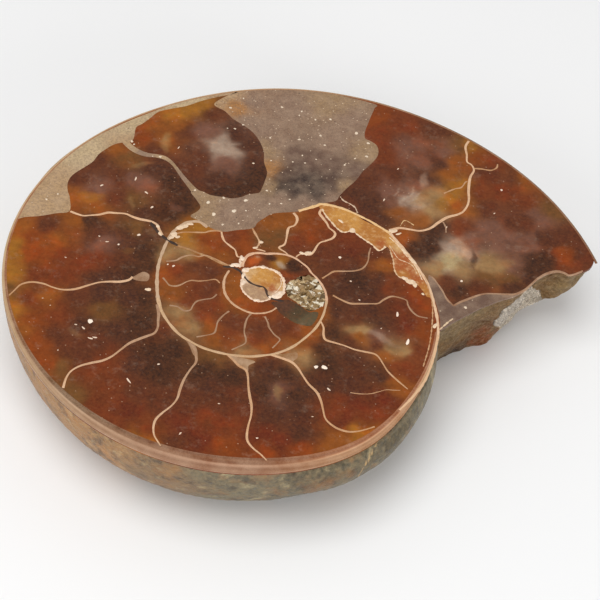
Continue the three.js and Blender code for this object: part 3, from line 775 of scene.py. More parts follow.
# --- The septa ---------------------------------------------------------------------------------
# Thin walls of pale mineral between the chambers, cut across, so that each shows as a winding
# line. They stand a hundredth of a millimetre proud, because they polish down less than the
# calcite.
CREAM = (222, 178, 138)
TAN = (182, 130, 82)
DULL = (146, 106, 76)
SEPTA = [
    # width, tone at the near end, tone at the far end, line
    (0.36, CREAM, CREAM, [
        (-14.9, 6.1), (-15.3, 6.9), (-15.6, 7.5), (-16.3, 7.85), (-17.5, 7.95), (-18.3, 8.15),
        (-19, 8.4), (-20, 8.3), (-20.8, 8.2), (-21.6, 7.75), (-22.5, 7.45), (-23.2, 7.25), (-24, 7.4),
        (-24.6, 7.6),
    ]),
    (0.3, CREAM, TAN, [
        (-16.9, -0.2), (-17.2, -0.7), (-18, -1.1), (-19, -1.3), (-20, -1.6), (-21, -2.2),
        (-21.8, -2.75), (-22.5, -3.1), (-23.5, -3.3), (-24.5, -3.15), (-25.3, -2.9), (-26.3, -2.85),
        (-27, -3.05), (-27.6, -3.5), (-28, -4.3), (-28.4, -5.1),
    ]),
    (0.34, DULL, CREAM, [
        (-13.9, -3.4), (-13.6, -4.5), (-13.5, -5.5), (-13.4, -6.4), (-13.6, -7.2), (-14.2, -7.7),
        (-15, -8.3), (-15.8, -9), (-16.5, -10), (-17.2, -11), (-18, -11.7), (-19, -12.2), (-20, -12.8),
        (-20.7, -13.6), (-21, -14.6), (-21.05, -15.8),
    ]),
    (0.3, DULL, CREAM, [
        (-10.2, -7.6), (-9.6, -8.3), (-9.2, -9.3), (-9.1, -10.2), (-9.5, -11.2), (-9.9, -12.5),
        (-10.1, -13.8), (-10.2, -15), (-10.6, -16), (-11.3, -17), (-11.8, -17.9), (-11.9, -18.8),
        (-11.7, -19.8), (-11.2, -20.6), (-10.9, -21),
    ]),
    (0.3, TAN, CREAM, [
        (-6.2, -8.6), (-5.5, -9.2), (-4.9, -9.8), (-4.2, -10.2), (-3.9, -11), (-3.7, -12.2),
        (-3.4, -13.5), (-3.1, -14.6), (-3, -15.8), (-3.1, -17), (-3.1, -18.2), (-2.9, -19),
        (-2.3, -19.7), (-1.5, -20.3), (-0.9, -20.9),
    ]),
    (0.3, CREAM, TAN, [
        (-2, -7.8), (-1, -8), (0, -8.3), (0.7, -8.9), (1.3, -9.8), (2, -10.8), (2.9, -11.7),
        (3.4, -12.7), (3.7, -13.7), (4, -14.7), (4.5, -15.3), (5.3, -15.8), (6.3, -16), (7.2, -15.8),
        (8, -15.4), (8.8, -14.9),
    ]),
    (0.26, CREAM, TAN, [
        (2.3, -2.4), (2.7, -3.2), (2.8, -4.2), (3.1, -4.8), (4, -5), (5, -5.2), (6, -5.5), (7, -5.6),
        (8, -5.7), (8.5, -6.1), (9, -6.9), (9.5, -7.7), (10.3, -8.5), (11, -9.1), (11.6, -9.6),
    ]),
    (0.12, TAN, TAN, [
        (6.1, -11.1), (7, -11.1), (8, -10.9), (8.8, -10.5), (9.5, -10.1), (10.2, -10), (10.9, -9.9),
    ]),
    (0.26, TAN, DULL, [
        (3.2, 1.3), (4, 0.9), (5, 0.55), (6, 0.7), (7, 0.9), (7.8, 1.1), (8.3, 1.7), (9, 2.3),
        (9.7, 2.35), (10.6, 2.1), (10.8, 1.5), (11.2, 0.8), (11.9, 0.2), (12.9, 0.1),
    ]),
    (0.24, TAN, DULL, [
        (1.9, 3.4), (2.5, 4.1), (3, 4.6), (4, 4.85), (5, 5.1), (5.7, 5.5), (6.1, 6.1), (6.3, 6.9),
        (6.3, 7.8), (6.4, 8.7),
    ]),
    (0.3, CREAM, CREAM, [
        (0.8, 13.2), (0.7, 12.6), (1.1, 12), (1.6, 11.3), (1.9, 10.7), (2.4, 10.3), (2.6, 9.9),
        (2.4, 9.3), (1.8, 8.8), (1.2, 8.4), (0.9, 7.8), (0.7, 7.1), (0.4, 6.5), (0, 6.4), (-0.4, 6.5),
        (-0.9, 6.1), (-1, 5.8),
    ]),
    (0.3, CREAM, CREAM, [
        (-2, 12.1), (-1.6, 11.6), (-1.5, 11), (-1.7, 10.3), (-2.2, 9.9), (-2.3, 9.3), (-2.3, 8.3),
        (-2.4, 7.4), (-2.9, 6.8), (-2.2, 6.3), (-1.9, 6),
    ]),
    (0.26, TAN, CREAM, [
        (-5.9, 9), (-5.6, 8.4), (-5.3, 7.9), (-5, 7.3), (-5, 6.8), (-5.2, 6.2), (-4.7, 6.1), (-4.2, 6),
    ]),
    (0.26, CREAM, CREAM, [
        (-9, 7.9), (-8.8, 7.2), (-8.5, 6.6), (-7.8, 6), (-7.3, 5.6), (-7.1, 5.1), (-6.9, 4.7),
        (-6.5, 4.7),
    ]),
    (0.26, TAN, TAN, [
        (-8.9, 7.9), (-9.6, 7.9), (-10.2, 7.7), (-10.7, 7.4), (-11.8, 7.2), (-12.8, 7), (-13.6, 6.6),
    ]),
    (0.24, DULL, TAN, [
        (-13.9, 2.6), (-13, 2.9), (-12.4, 3.5), (-11.6, 3.95), (-10.8, 3.9), (-10.2, 4.2), (-9.3, 4),
        (-8.4, 3.6), (-7.7, 3.3),
    ]),
    (0.22, DULL, TAN, [
        (-13.9, 0.3), (-13.4, -0.3), (-13.1, -0.6), (-12.5, -0.6), (-12, -0.3), (-11.5, 0.2),
        (-11, 0.5), (-10.3, 0.55), (-9.5, 0.8), (-8.7, 1.1), (-8.2, 0.7),
    ]),
    (0.22, DULL, DULL, [
        (-12.7, -3.3), (-11.9, -3.3), (-11.2, -3.7), (-10.6, -3.5), (-10.4, -2.8), (-10.1, -2.2),
        (-9.4, -1.8), (-8.7, -1.5), (-8.3, -0.9),
    ]),
    (0.22, DULL, DULL, [
        (-6.8, -2.9), (-7.3, -3.6), (-7.7, -4.5), (-7.75, -5.4), (-7.9, -6.1), (-8.8, -6.6),
        (-9.5, -6.9),
    ]),
    (0.22, DULL, DULL, [
        (-4.6, -2.8), (-4.9, -3.5), (-5, -4.5), (-4.95, -5.4), (-4.7, -6.2), (-4.7, -6.8),
        (-5.3, -7.4), (-5.9, -7.9),
    ]),
    (0.22, DULL, DULL, [
        (-3.2, -2.9), (-2.8, -3.7), (-2.6, -4.3), (-2, -5.1), (-1.4, -5.6), (-1.6, -6.2), (-2, -6.9),
    ]),
    (0.36, CREAM, CREAM, [
        (8.1, 11.6), (8.6, 11.9), (9.2, 12.2), (10.2, 12.2), (11.2, 12.2), (11.9, 12.5), (12.5, 13),
        (13.1, 13.8), (14, 14.8), (15, 15.4), (15.6, 16), (16, 17), (16.1, 18), (16, 19.2), (16, 20.5),
        (16.1, 21.5), (16.4, 22.5), (16.1, 23.3), (15.6, 23.7), (15.5, 24.8), (15.3, 26), (15.6, 27),
    ]),
    (0.26, TAN, TAN, [
        (16.4, 22.8), (17.2, 22.9), (18.2, 22.9), (18.8, 23.4), (18.9, 24),
    ]),
    (0.22, TAN, TAN, [
        (13.4, 18.3), (14.5, 19.2), (15.2, 19.6), (15.6, 20.5), (15.8, 20.6),
    ]),
    (0.2, DULL, DULL, [
        (13.6, 14), (13.9, 13.3), (14, 12.5),
    ]),
    (0.3, DULL, DULL, [
        (15.4, 2.3), (16, 2.9), (16.8, 3.5), (17.6, 4.1), (18.5, 4.6), (19.5, 4.8), (20.5, 4.95),
        (21.4, 5.1), (22, 5.5), (22.6, 6.1), (23.2, 7), (23.8, 7.9), (24.6, 8.7), (25.4, 9.2),
        (26, 9.35), (26.6, 9.2), (27, 9), (27.6, 9.3), (28.4, 9.9),
    ]),
    (0.26, DULL, DULL, [
        (15.4, 2.3), (14.7, 3), (14.2, 4), (13.6, 5), (13, 5.8), (12.6, 6),
    ]),
]
SEPTUM_RISE = 0.012
SEPTUM_WIDTH = 0.68  # share of the widths above that is left after polishing
FOOT_RISE = 0.006
SUNK = 0.15  # how deep every bar and plate is let into the face
LINE_STEP = 0.12


def ribbon(line, widths, rise):
    """A low bar along a line, let into the face and slightly crowned, with its ends closed."""
    line = np.asarray(line, float)
    ahead = np.gradient(line, axis=0)
    ahead /= np.maximum(np.hypot(*ahead.T), 1e-9)[:, None]
    left = np.column_stack([-ahead[:, 1], ahead[:, 0]])
    half = np.broadcast_to(widths, len(line))[:, None] / 2
    top = THICKNESS + rise
    foot, shoulder = top - SUNK, top - rise * 0.9
    across = [(1, foot), (1, shoulder), (0.5, top), (-0.5, top), (-1, shoulder), (-1, foot)]
    points = np.stack([
        np.column_stack([line + left * half * side, np.full(len(line), z)]) for side, z in across
    ], axis=1)
    n, k = len(line), len(across)
    ids = np.arange(n * k).reshape(n, k)
    parts = []
    for j in range(k):
        a, b = ids[:-1, j], ids[:-1, (j + 1) % k]
        c, d = ids[1:, j], ids[1:, (j + 1) % k]
        parts += [np.column_stack([a, c, d]), np.column_stack([a, d, b])]
    for end, order in ((0, 1), (n - 1, -1)):
        fan = [(ids[end, 0], ids[end, j], ids[end, j + 1]) for j in range(1, k - 1)]
        parts.append(np.array(fan)[:, ::order])
    faces = np.vstack(parts)
    return points.reshape(-1, 3), faces[:, ::-1]


def gathered(pieces):
    """Several (points, faces, tints) as one."""
    points, faces, tints, first = [], [], [], 0
    for p, f, t in pieces:
        points.append(p)
        faces.append(f + first)
        tints.append(np.broadcast_to(t, (len(p), 3)))
        first += len(p)
    return np.vstack(points), np.vstack(faces), np.vstack(tints)


FEET = [
    # tone, and the outline of the brown wedge where a septum meets the wall inside it
    ((124, 84, 52), [
        (-17, -0.4), (-16.4, 0.3), (-15.9, 0.7), (-15.3, 0.4), (-15.3, -0.4), (-15.8, -0.6),
        (-16.5, -0.6),
    ]),
    ((138, 98, 58), [
        (-6.3, -8.6), (-5.3, -8.7), (-4.2, -8.8), (-3.4, -9.0), (-4.0, -9.6), (-4.0, -10.4),
        (-5.0, -9.8),
    ]),
    ((128, 88, 50), [
        (-10.5, -7.5), (-9.6, -7.9), (-9.2, -8.6), (-9.0, -9.6), (-9.5, -9.2), (-10.0, -8.2),
    ]),
    ((140, 98, 56), [
        (0.2, -8.2), (-0.6, -7.9), (-1.6, -7.7), (-0.4, -7.3), (0.4, -7.0), (0.6, -7.6),
    ]),
]
bars = []
for width, near, far, line in SEPTA:
    line = evenly(line, LINE_STEP)
    along = np.linspace(0, 1, len(line))
    widths = SEPTUM_WIDTH * width * (1 + 0.2 * np.sin(along * 19 + width * 40)) * (1.25 - 0.4 * along)
    points, faces = ribbon(line, widths, SEPTUM_RISE)
    share = np.repeat(along, len(points) // len(line))[:, None]
    bars.append((points, faces, blend(np.array(near, float), np.array(far, float), share)))
for tone, loop in FEET:
    points, faces = slab(evenly(loop, 0.2, closed=True), THICKNESS + FOOT_RISE, SUNK, 0.3)
    bars.append((points, faces, tone))

mineral, tree, surface, tint, place = new_material("septum mineral")
flecks = grain(tree, place, 0.3, 4)
colour = mixed(tree, ranged(tree, flecks, 0, 0.45), tint, (144, 96, 60))
colour = mixed(tree, ranged(tree, grain(tree, place, 1.1, 3), 0, 0.25), colour, (240, 212, 180))
tree.links.new(colour, surface.inputs["Base Color"])
tree.links.new(ranged(tree, flecks, 0.2, 0.4), surface.inputs["Roughness"])
bumped(tree, surface, flecks, 0.006)
points, faces, tints = gathered(bars)
septa = make_piece("septa", points, faces, tints, mineral)
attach(septa, "root")

# --- The walls of the inner whorls -------------------------------------------------------------
# The shell of the whorls inside, cut across: pale nacre, a third of a millimetre thick, that
# winds in to the first chambers. Part of it is lost under the mud.
WHORL_WALLS = [
    # widths along it, tone, line
    ([0.34, 0.3, 0.3, 0.4, 0.3], (224, 184, 142), [
        (14.1, -2), (13.9, -4.5), (13.6, -6.4), (13.1, -8.4), (12.2, -10.4), (11, -12.4),
    ]),
    ([0.3, 0.36, 0.3, 0.4, 0.5, 0.45], (230, 192, 154), [
        (14.1, -2), (13.9, 0), (13.2, 3), (12.5, 5), (11, 7.5), (9.6, 9.4), (8.2, 11.2),
    ]),
    ([0.4, 0.3, 0.36, 0.5, 0.4], (240, 198, 138), [
        (8.2, 11.2), (6.6, 12.2), (5.5, 12.8), (3, 13.8), (0.9, 14), (0.2, 13.6), (-1.5, 12.5),
    ]),
    ([0.4, 0.5, 0.42, 0.36, 0.42, 0.45], (196, 166, 134), [
        (-10.5, 8.2), (-11.4, 8.8), (-12.5, 8.5), (-13.5, 7.4), (-14, 6.3), (-14.4, 4.4),
        (-14.6, 2), (-14.4, -0.4), (-14, -2.5),
    ]),
    ([0.44, 0.36, 0.34, 0.36, 0.34, 0.3, 0.3], (202, 166, 124), [
        (-14, -2.5), (-13.4, -4.1), (-12.5, -5.5), (-11.3, -6.8), (-10, -7.6), (-8.6, -8.2),
        (-7, -8.5), (-5.5, -8.55), (-4, -8.4), (-2.7, -8), (-1.5, -7.5), (-0.1, -6.4),
        (1, -5), (1.9, -3.5), (2.4, -2), (2.6, -0.8), (2.65, 0.4),
    ]),
    ([0.3, 0.26, 0.24, 0.3, 0.4, 0.4], (222, 176, 140), [
        (2.65, 0.4), (2.5, 1.3), (2.2, 2.1), (1.7, 2.9), (1.2, 3.5), (0.7, 4), (0.3, 4.6),
        (-0.3, 5.1), (-1, 5.6), (-1.8, 5.9), (-2.5, 5.95), (-3.2, 5.9), (-4, 5.7),
        (-4.8, 5.65), (-5.5, 5.4), (-6, 4.9), (-6.2, 4.2), (-6.3, 3.4),
    ]),
    ([0.24, 0.34, 0.3, 0.26, 0.22], (206, 164, 126), [
        (-7.5, 2.6), (-7.8, 1.5), (-7.75, 0.3), (-7.4, -0.8), (-6.6, -1.8), (-5.6, -2.4),
        (-4.6, -2.7), (-3.8, -2.6), (-3.2, -2.4), (-2.6, -2), (-2.2, -1.5),
    ]),
]
WALL_RISE = 0.018
WALL_SHARE = 0.8  # share of the widths above that is left after polishing
bars = []
for widths, tone, line in WHORL_WALLS:
    line = evenly(line, LINE_STEP)
    along = np.linspace(0, 1, len(line))
    width = np.interp(along, np.linspace(0, 1, len(widths)), widths)
    width = WALL_SHARE * width * (1 + 0.2 * np.sin(along * 61) * np.sin(along * 23 + 1))
    points, faces = ribbon(line, width, WALL_RISE)
    bars.append((points, faces, tone))

nacre, tree, surface, tint, place = new_material("nacre")
layers = grain(tree, place, 0.25, 4, 0.6, 0.3, 0.7)
# painted sheen: pale patches mixed into the nacre stand for its pearly lustre
pearly_sheen = grain(tree, place, 1.8, 3)
colour = mixed(tree, ranged(tree, layers, 0, 0.4), tint, (134, 80, 46))
colour = mixed(tree, ranged(tree, pearly_sheen, 0, 0.2), colour, (236, 204, 172))
tree.links.new(colour, surface.inputs["Base Color"])
tree.links.new(ranged(tree, layers, 0.18, 0.38), surface.inputs["Roughness"])
bumped(tree, surface, layers, 0.008)
points, faces, tints = gathered(bars)
walls = make_piece("whorl_walls", points, faces, tints, nacre)
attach(walls, "root")

# --- The outer shell, cut across ---------------------------------------------------------------
# The shell of the last whorl round the edge of the face: pink and cream nacre in fine layers,
# thick along the near side and worn to a hair round the top.
RIM_STEP = 30
RIM_WIDTH = [0.22, 0.22, 0.22, 0.2, 0.22, 0.25, 0.4, 0.8, 1.5, 1.9, 1.3, 0.65, 0.4]
RIM_ACROSS = 13  # rows of points over its width
RIM_FROM = 18
RIM_TO = 353.5
RIM_ANGLE = 0.5
RIM_RISE = 0.008
RIM_DEPTH = 0.12
RIM_PROUD = 0.02  # past the wall under it
RIM = {
    "pearl": (188, 160, 120),
    "tan": (160, 128, 96),
    "blush": (164, 118, 80),
    "shell": (140, 98, 72),
    "copper": (138, 74, 32),
    "chestnut": (108, 58, 24),
    "bark": (90, 66, 38),
}
RIM_INNER = [
    # growth angle, tone
    (0, "chestnut"), (90, "blush"), (180, "copper"), (225, "bark"), (255, "chestnut"),
    (275, "chestnut"), (295, "copper"), (354, "copper"),
]
RIM_OUTER = [
    (0, "bark"), (60, "bark"), (90, "pearl"), (180, "pearl"), (225, "tan"), (255, "shell"),
    (275, "shell"), (295, "blush"), (320, "blush"), (354, "pearl"),
]


def tones_along(growth, marks):
    """The tone at each growth angle, run evenly from one mark to the next."""
    angles = [angle for angle, name in marks]
    tones = np.array([RIM[name] for angle, name in marks])
    return np.column_stack([np.interp(growth, angles, tones[:, k]) for k in range(3)])


growth = np.arange(RIM_FROM, RIM_TO, RIM_ANGLE)
turn = np.radians(growth)
ray = np.column_stack([np.cos(turn), np.sin(turn)])
width = spline(RIM_WIDTH, growth / RIM_STEP)
inner = tones_along(growth, RIM_INNER)
outer = tones_along(growth, RIM_OUTER)
rows, tints = [], []
for j in range(RIM_ACROSS):
    share = j / (RIM_ACROSS - 1)
    reach = wall_radius(growth) + RIM_PROUD - width * share
    rows.append(np.column_stack([POLE + ray * reach[:, None], np.full(len(growth), THICKNESS + RIM_RISE)]))
    stripe = 12 * np.sin(share * 19 + 0.05 * growth + 1.5 * np.sin(growth * 0.11))
    seam = 42 * np.exp(-(((share - 0.5) / 0.09) ** 2)) * smoothstep(200, 240, growth)
    tints.append(blend(outer, inner, smoothstep(0.45, 0.62, share)) + (stripe + seam)[:, None])
n = len(growth)
ids = np.arange(n * RIM_ACROSS).reshape(RIM_ACROSS, n)
below = ids + n * RIM_ACROSS
points = np.vstack(rows)
points = np.vstack([points, points - (0, 0, RIM_DEPTH)])
faces = []
for j in range(RIM_ACROSS - 1):
    a, b, c, d = ids[j, :-1], ids[j, 1:], ids[j + 1, 1:], ids[j + 1, :-1]
    faces += [np.column_stack([a, b, c]), np.column_stack([a, c, d])]
    a, b, c, d = below[j, :-1], below[j, 1:], below[j + 1, 1:], below[j + 1, :-1]
    faces += [np.column_stack([a, c, b]), np.column_stack([a, d, c])]
for j, flip in ((0, 1), (RIM_ACROSS - 1, -1)):
    a, b, c, d = ids[j, :-1], ids[j, 1:], below[j, 1:], below[j, :-1]
    faces += [np.column_stack([a, c, b])[:, ::flip], np.column_stack([a, d, c])[:, ::flip]]
for i, flip in ((0, 1), (n - 1, -1)):
    a, b, c, d = ids[:-1, i], ids[1:, i], below[1:, i], below[:-1, i]
    faces += [np.column_stack([a, b, c])[:, ::flip], np.column_stack([a, c, d])[:, ::flip]]
tints = np.clip(np.vstack(tints), 0, 255)
rim = make_piece("rim_nacre", points, np.vstack(faces), np.vstack([tints, tints]), nacre)
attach(rim, "root")

# --- The mud in the chambers -------------------------------------------------------------------
# Fine grey and beige mud that washed into some chambers before they closed, set to stone: a
# mauve grey mass at the far side and a warmer band up the left edge, full of pale grains.
MUD_TOP = THICKNESS + 0.005
MUD_STEP = 0.006  # how much higher the arm lies than the masses it joins
GREAT_MASS = 2
MUD_TONES = [
    # the band up the left edge
    (-28.6, 7, "buff"), (-27, 11, "buff"), (-24.6, 17, "cream"), (-20.4, 21.6, "cream"),
    (-15, 26.6, "cream"), (-11, 28.6, "buff"),
    # the arm between two chambers
    (-20.2, 18.6, "buff"), (-18.4, 17.5, "mauve"), (-16.6, 17.5, "buff"), (-15.2, 16.6, "tan"),
    (-14, 15, "mauve"), (-12.8, 13.6, "tan"),
    # the great mass, paler above and sooty at its foot
    (-9.6, 27, "ochre"), (-8.2, 28, "mauve"), (-8.4, 24.6, "mauve"), (-6.4, 24, "mauve"),
    (-4, 28, "mauve"), (0, 29.6, "tan"), (2.6, 27, "mauve"), (1, 23.6, "mauve"), (4.8, 23, "tan"),
    (-4.6, 22, "mauve"), (-5.6, 21, "tan"), (-3, 21, "dusk"), (1, 20, "dusk"), (4, 19.6, "dusk"),
    (-1.4, 20.2, "dusk"), (-5, 18, "ochre"), (-4.8, 15.6, "tan"), (-3.6, 17.6, "umber"),
    (-2, 18.8, "umber"), (1.4, 18.4, "umber"), (1.4, 16.8, "umber"), (-2.6, 16.4, "soot"),
    (-1.2, 17.4, "soot"), (0.2, 16.8, "soot"), (-3.8, 15.6, "soot"), (-2, 15.3, "soot"),
    (0, 15.6, "soot"), (3.1, 17, "tan"), (1.9, 15.3, "mauve"),
    # the part over the middle whorl
    (-1, 13.8, "mauve"), (-3.6, 13.6, "mauve"), (-7, 12, "mauve"), (-9, 10.4, "mauve"),
    (-11, 10.4, "tan"), (-11.6, 12.6, "tan"),
    # the wedge beside the break
    (13.2, 5.2, "mauve"), (14, 4, "dusk"), (14.3, 1.6, "dusk"), (14.8, -0.4, "dusk"),
    (15.6, 1.4, "dusk"), (17.2, 2.8, "dusk"), (19.2, 4.1, "dusk"), (21.2, 5, "mauve"),
]
MUD_LOOPS = [
    # the arm, the band up the left edge, the great mass, the wedge beside the break
    [
        (-20.7, 19.7), (-20.1, 18.8), (-19.3, 18.2), (-18.2, 17.8), (-17.2, 17.8), (-16.3, 17.7),
        (-15.5, 17.15), (-14.7, 16.2), (-13.9, 15.2), (-13.1, 14.3), (-12.3, 13.5), (-11.4, 12.9),
        (-11.9, 12.1), (-12.5, 12.6), (-13, 13.2), (-13.6, 14), (-14.2, 14.8), (-14.8, 15.7),
        (-15.4, 16.5), (-16.2, 17.1), (-17.2, 17.3), (-18.2, 17.2), (-19.2, 17.4), (-20, 17.8),
        (-20.7, 18.4), (-21.2, 19.1),
    ],
    [
        (-29.85, 5.2), (-29, 5.8), (-27.5, 6.3), (-26, 7), (-24.7, 7.6), (-25, 9.5), (-25.4, 10.5),
        (-25.6, 11.7), (-25.3, 12.9), (-24.3, 14.3), (-23.6, 15.3), (-23.2, 16.5), (-22.7, 17.3),
        (-22, 18.2), (-21.3, 18.7), (-20.5, 19), (-20, 19.6), (-20, 21.4), (-19.4, 22.2),
        (-18.7, 23.3), (-18, 24.4), (-16.5, 25.3), (-15.3, 25.9), (-14, 26.9), (-12.5, 27.9),
        (-11, 28.7), (-10, 29.4), (-11, 29.1), (-14, 27.6), (-17, 25.6), (-20, 23.1), (-22, 21.2),
        (-25, 17.9), (-27, 14.9), (-28.5, 11.2),
    ],
    [
        (-10.2, 29.4), (-8, 30.3), (-5, 31), (-2, 31.3), (1, 31.3), (5, 30.7), (5, 30), (4.7, 28.5),
        (4.5, 27.3), (4.3, 26), (4.4, 25), (5, 24.7), (5.7, 24.2), (6, 23.3), (5.9, 22.3), (5.3, 21),
        (4.6, 19.8), (4, 18.3), (3.1, 16.8), (2.5, 15.6), (2.2, 14.8), (1, 14.2), (0.3, 13.8),
        (-0.7, 12.9), (-1.8, 12.3), (-4, 11.6), (-4.9, 10.7), (-5.5, 9.9), (-5.9, 9), (-7.5, 8.4),
        (-8.8, 7.9), (-10.2, 8.2), (-11, 8.8), (-12.4, 9.4), (-11.8, 10.3), (-11.6, 11), (-12.2, 12),
        (-12.9, 13), (-11.9, 13.3), (-11.3, 13.1), (-10.7, 12.9), (-9.3, 12.9), (-8.5, 12.9),
        (-7.6, 13.3), (-7, 13.8), (-6.3, 14.1), (-5.8, 14.4), (-5.6, 15.4), (-5.5, 16), (-5.4, 17.5),
        (-5.9, 19), (-6.1, 20.5), (-6.7, 22), (-7.6, 23.3), (-8.7, 24.2), (-10, 25), (-11, 26),
        (-12.3, 26.8), (-11.6, 28),
    ],
    [
        (14.3, -1.3), (15.3, -0.15), (16.3, 0.8), (17.3, 1.75), (18.1, 2.5), (19.1, 3.25), (20.1, 4),
        (21.1, 4.6), (21.9, 5.2), (21.4, 5.1), (20.5, 4.95), (19.5, 4.8), (18.5, 4.6), (17.6, 4.1),
        (16.8, 3.5), (16, 2.9), (15.4, 2.3), (14.7, 3), (14.2, 4), (13.6, 5), (13, 5.8), (12.6, 6),
        (12.7, 5), (13.3, 3.2), (14, 0.8),
    ],
]
plates = []
for number, loop in enumerate(MUD_LOOPS):
    top = MUD_TOP + MUD_STEP * (number == 0)
    points, faces = slab(evenly(loop, 0.2, closed=True), top, SUNK, 0.3)
    plates.append((points, faces, washed(shifted(points, 1.3, 0.5), MUD_TONES, STONE, 1.0)))

mud, tree, surface, tint, place = new_material("mud stone")
fine = grain(tree, place, 0.2, 4, 0.7, 0.38, 0.62)
soft = grain(tree, place, 1.2, 5, 0.65, 0.4, 0.65)
colour = mixed(tree, ranged(tree, fine, 0, 0.5), tint, (88, 64, 50))
colour = mixed(tree, ranged(tree, soft, 0, 0.2), colour, (196, 168, 140))
colour = mixed(tree, ranged(tree, dots(tree, place, 0.45, 0.2, 0.12), 0, 0.6), colour, (220, 196, 168))
colour = mixed(tree, ranged(tree, dots(tree, place, 0.62, 0.16, 0.1), 0, 0.7), colour, (60, 44, 38))
tree.links.new(colour, surface.inputs["Base Color"])
tree.links.new(ranged(tree, fine, 0.22, 0.5), surface.inputs["Roughness"])
bumped(tree, surface, fine, 0.012)
points, faces, tints = gathered(plates)
infill = make_piece("mud_infill", points, faces, tints, mud)
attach(infill, "root")

# --- Grains in the mud -------------------------------------------------------------------------
# Pale grains of shell and calcite caught in the mud, the largest half a millimetre across, with
# a dust of smaller ones between them.
GRAIN_TONE = (236, 220, 196)
MUD_GRAINS = [
    # middle and radius
    (-10.1, 10.2, 0.22), (-10.9, 11.8, 0.2), (-8.1, 11.1, 0.24), (-9.0, 8.9, 0.13), (-7.4, 9.4, 0.1),
    (-7.1, 12.9, 0.2), (-9.4, 12.8, 0.15), (-12.5, 13.3, 0.15), (-6.9, 11.4, 0.1), (-5.1, 14.8, 0.12),
    (-2.6, 14.0, 0.1), (-16.8, 17.5, 0.17), (-17.6, 17.4, 0.08), (-4.6, 12.9, 0.1), (-3.4, 13.2, 0.1),
    (-10.5, 26.7, 0.15), (-9.3, 28.5, 0.1), (-5.0, 28.0, 0.14), (-2.8, 27.8, 0.12), (-1.2, 26.8, 0.12),
    (0.4, 27.2, 0.14), (-0.4, 24.4, 0.14), (-2.6, 23.3, 0.15), (-2.0, 20.9, 0.1), (-8.8, 24.3, 0.12),
    (-9.6, 23.5, 0.12), (-5.7, 22.9, 0.12), (-10.4, 23.4, 0.08), (3.4, 25.6, 0.2), (4.8, 24.3, 0.16),
    (0.2, 23.0, 0.12), (4.8, 22.2, 0.16), (-27.3, 8.8, 0.12), (-26.3, 9.8, 0.1), (-7.0, 18.6, 0.12),
    (-20.1, 19.2, 0.16), (-19.8, 18.8, 0.1), (-5.2, 19.4, 0.1), (-1.6, 19.8, 0.1), (-2.9, 19.7, 0.1),
    (2.6, 20.4, 0.12), (3.6, 21.6, 0.1), (-0.5, 20.6, 0.09), (-3.0, 27.1, 0.1), (16.6, 2.3, 0.16),
]
GRAIN_SIDES = 9
GRAIN_FOOT = 0.1  # how deep a grain is set into the face
GRAIN_TOP = THICKNESS + 0.006
DUST_TONE = (214, 192, 164)
DUST_TRIES = 240


def dome(x, y, radius, top, height, stretch=1.0, turn=0.0):
    """A low lump with a wavering edge, its foot set into the face."""
    around = np.linspace(0, 2 * np.pi, GRAIN_SIDES, endpoint=False)
    waver = 1 + 0.18 * np.sin(around * 2 + x * 7) + 0.12 * np.sin(around * 3 + y * 5)
    c, d = math.cos(turn), math.sin(turn)
    rows = []
    for share, z in ((1.0, top - GRAIN_FOOT), (1.0, top), (0.62, top + height)):
        long = radius * share * waver * np.cos(around) * stretch
        short = radius * share * waver * np.sin(around)
        level = np.full(GRAIN_SIDES, z)
        rows.append(np.column_stack([x + long * c - short * d, y + long * d + short * c, level]))
    ring = np.arange(GRAIN_SIDES)
    points = np.vstack([*rows, [(x, y, top + height * 1.15), (x, y, top - GRAIN_FOOT)]])
    peak, foot = 3 * GRAIN_SIDES, 3 * GRAIN_SIDES + 1
    after = np.roll(ring, -1)
    faces = [
        band(ring, ring + GRAIN_SIDES), band(ring + GRAIN_SIDES, ring + 2 * GRAIN_SIDES),
        np.column_stack([ring + 2 * GRAIN_SIDES, after + 2 * GRAIN_SIDES, np.full(GRAIN_SIDES, peak)]),
        np.column_stack([after, ring, np.full(GRAIN_SIDES, foot)]),
    ]
    return points, np.vstack(faces)


lumps = []
for x, y, radius in MUD_GRAINS:
    points, faces = dome(x, y, radius, GRAIN_TOP, 0.012)
    lumps.append((points, faces, GRAIN_TONE))
scattered = np.random.default_rng(11)
for number in range(DUST_TRIES):
    x, y = scattered.uniform((-12, 8), (6, 31))
    if inside(np.array([(x, y)]), MUD_LOOPS[GREAT_MASS])[0]:
        points, faces = dome(x, y, scattered.uniform(0.03, 0.07), GRAIN_TOP, 0.008)
        lumps.append((points, faces, DUST_TONE))
points, faces, tints = gathered(lumps)
grains = make_piece("mud_grains", points, faces, tints, mineral)
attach(grains, "root")

# --- The golden wall ---------------------------------------------------------------------------
# The wall of the middle whorl above the break, swollen and turned to honey calcite, more orange
# towards its lower end. It grew in the stone and is polished level with it.
GOLD_UPPER = [
    (0.5, 13.7), (1.0, 13.9), (2, 13.85), (3.5, 13.5), (4.6, 13.1), (5.2, 12.6), (6.3, 12.1),
    (7.5, 11.6), (8.3, 10.9), (9, 10), (9.8, 9), (10.5, 8), (11.2, 7.2), (11.8, 6), (12.3, 5),
    (12.8, 4), (13.2, 2.9),
]
GOLD_LOWER = [
    (12.6, 3.0), (12.1, 3.8), (11.5, 4.5), (11, 4.5), (10.2, 5.0), (9.5, 5.3), (9.05, 6.2), (8.85, 7.4),
    (8.4, 8.8), (7.9, 9.2), (7.3, 8.5), (6.5, 9.2), (5.6, 9.8), (4.8, 10.4), (4.3, 10.8),
    (3.8, 10.5), (3.3, 10.4), (2.6, 10.9), (2.3, 11.3), (1.7, 12), (1.1, 12.7), (0.7, 13.2),
]
GOLD_RISE = 0.008
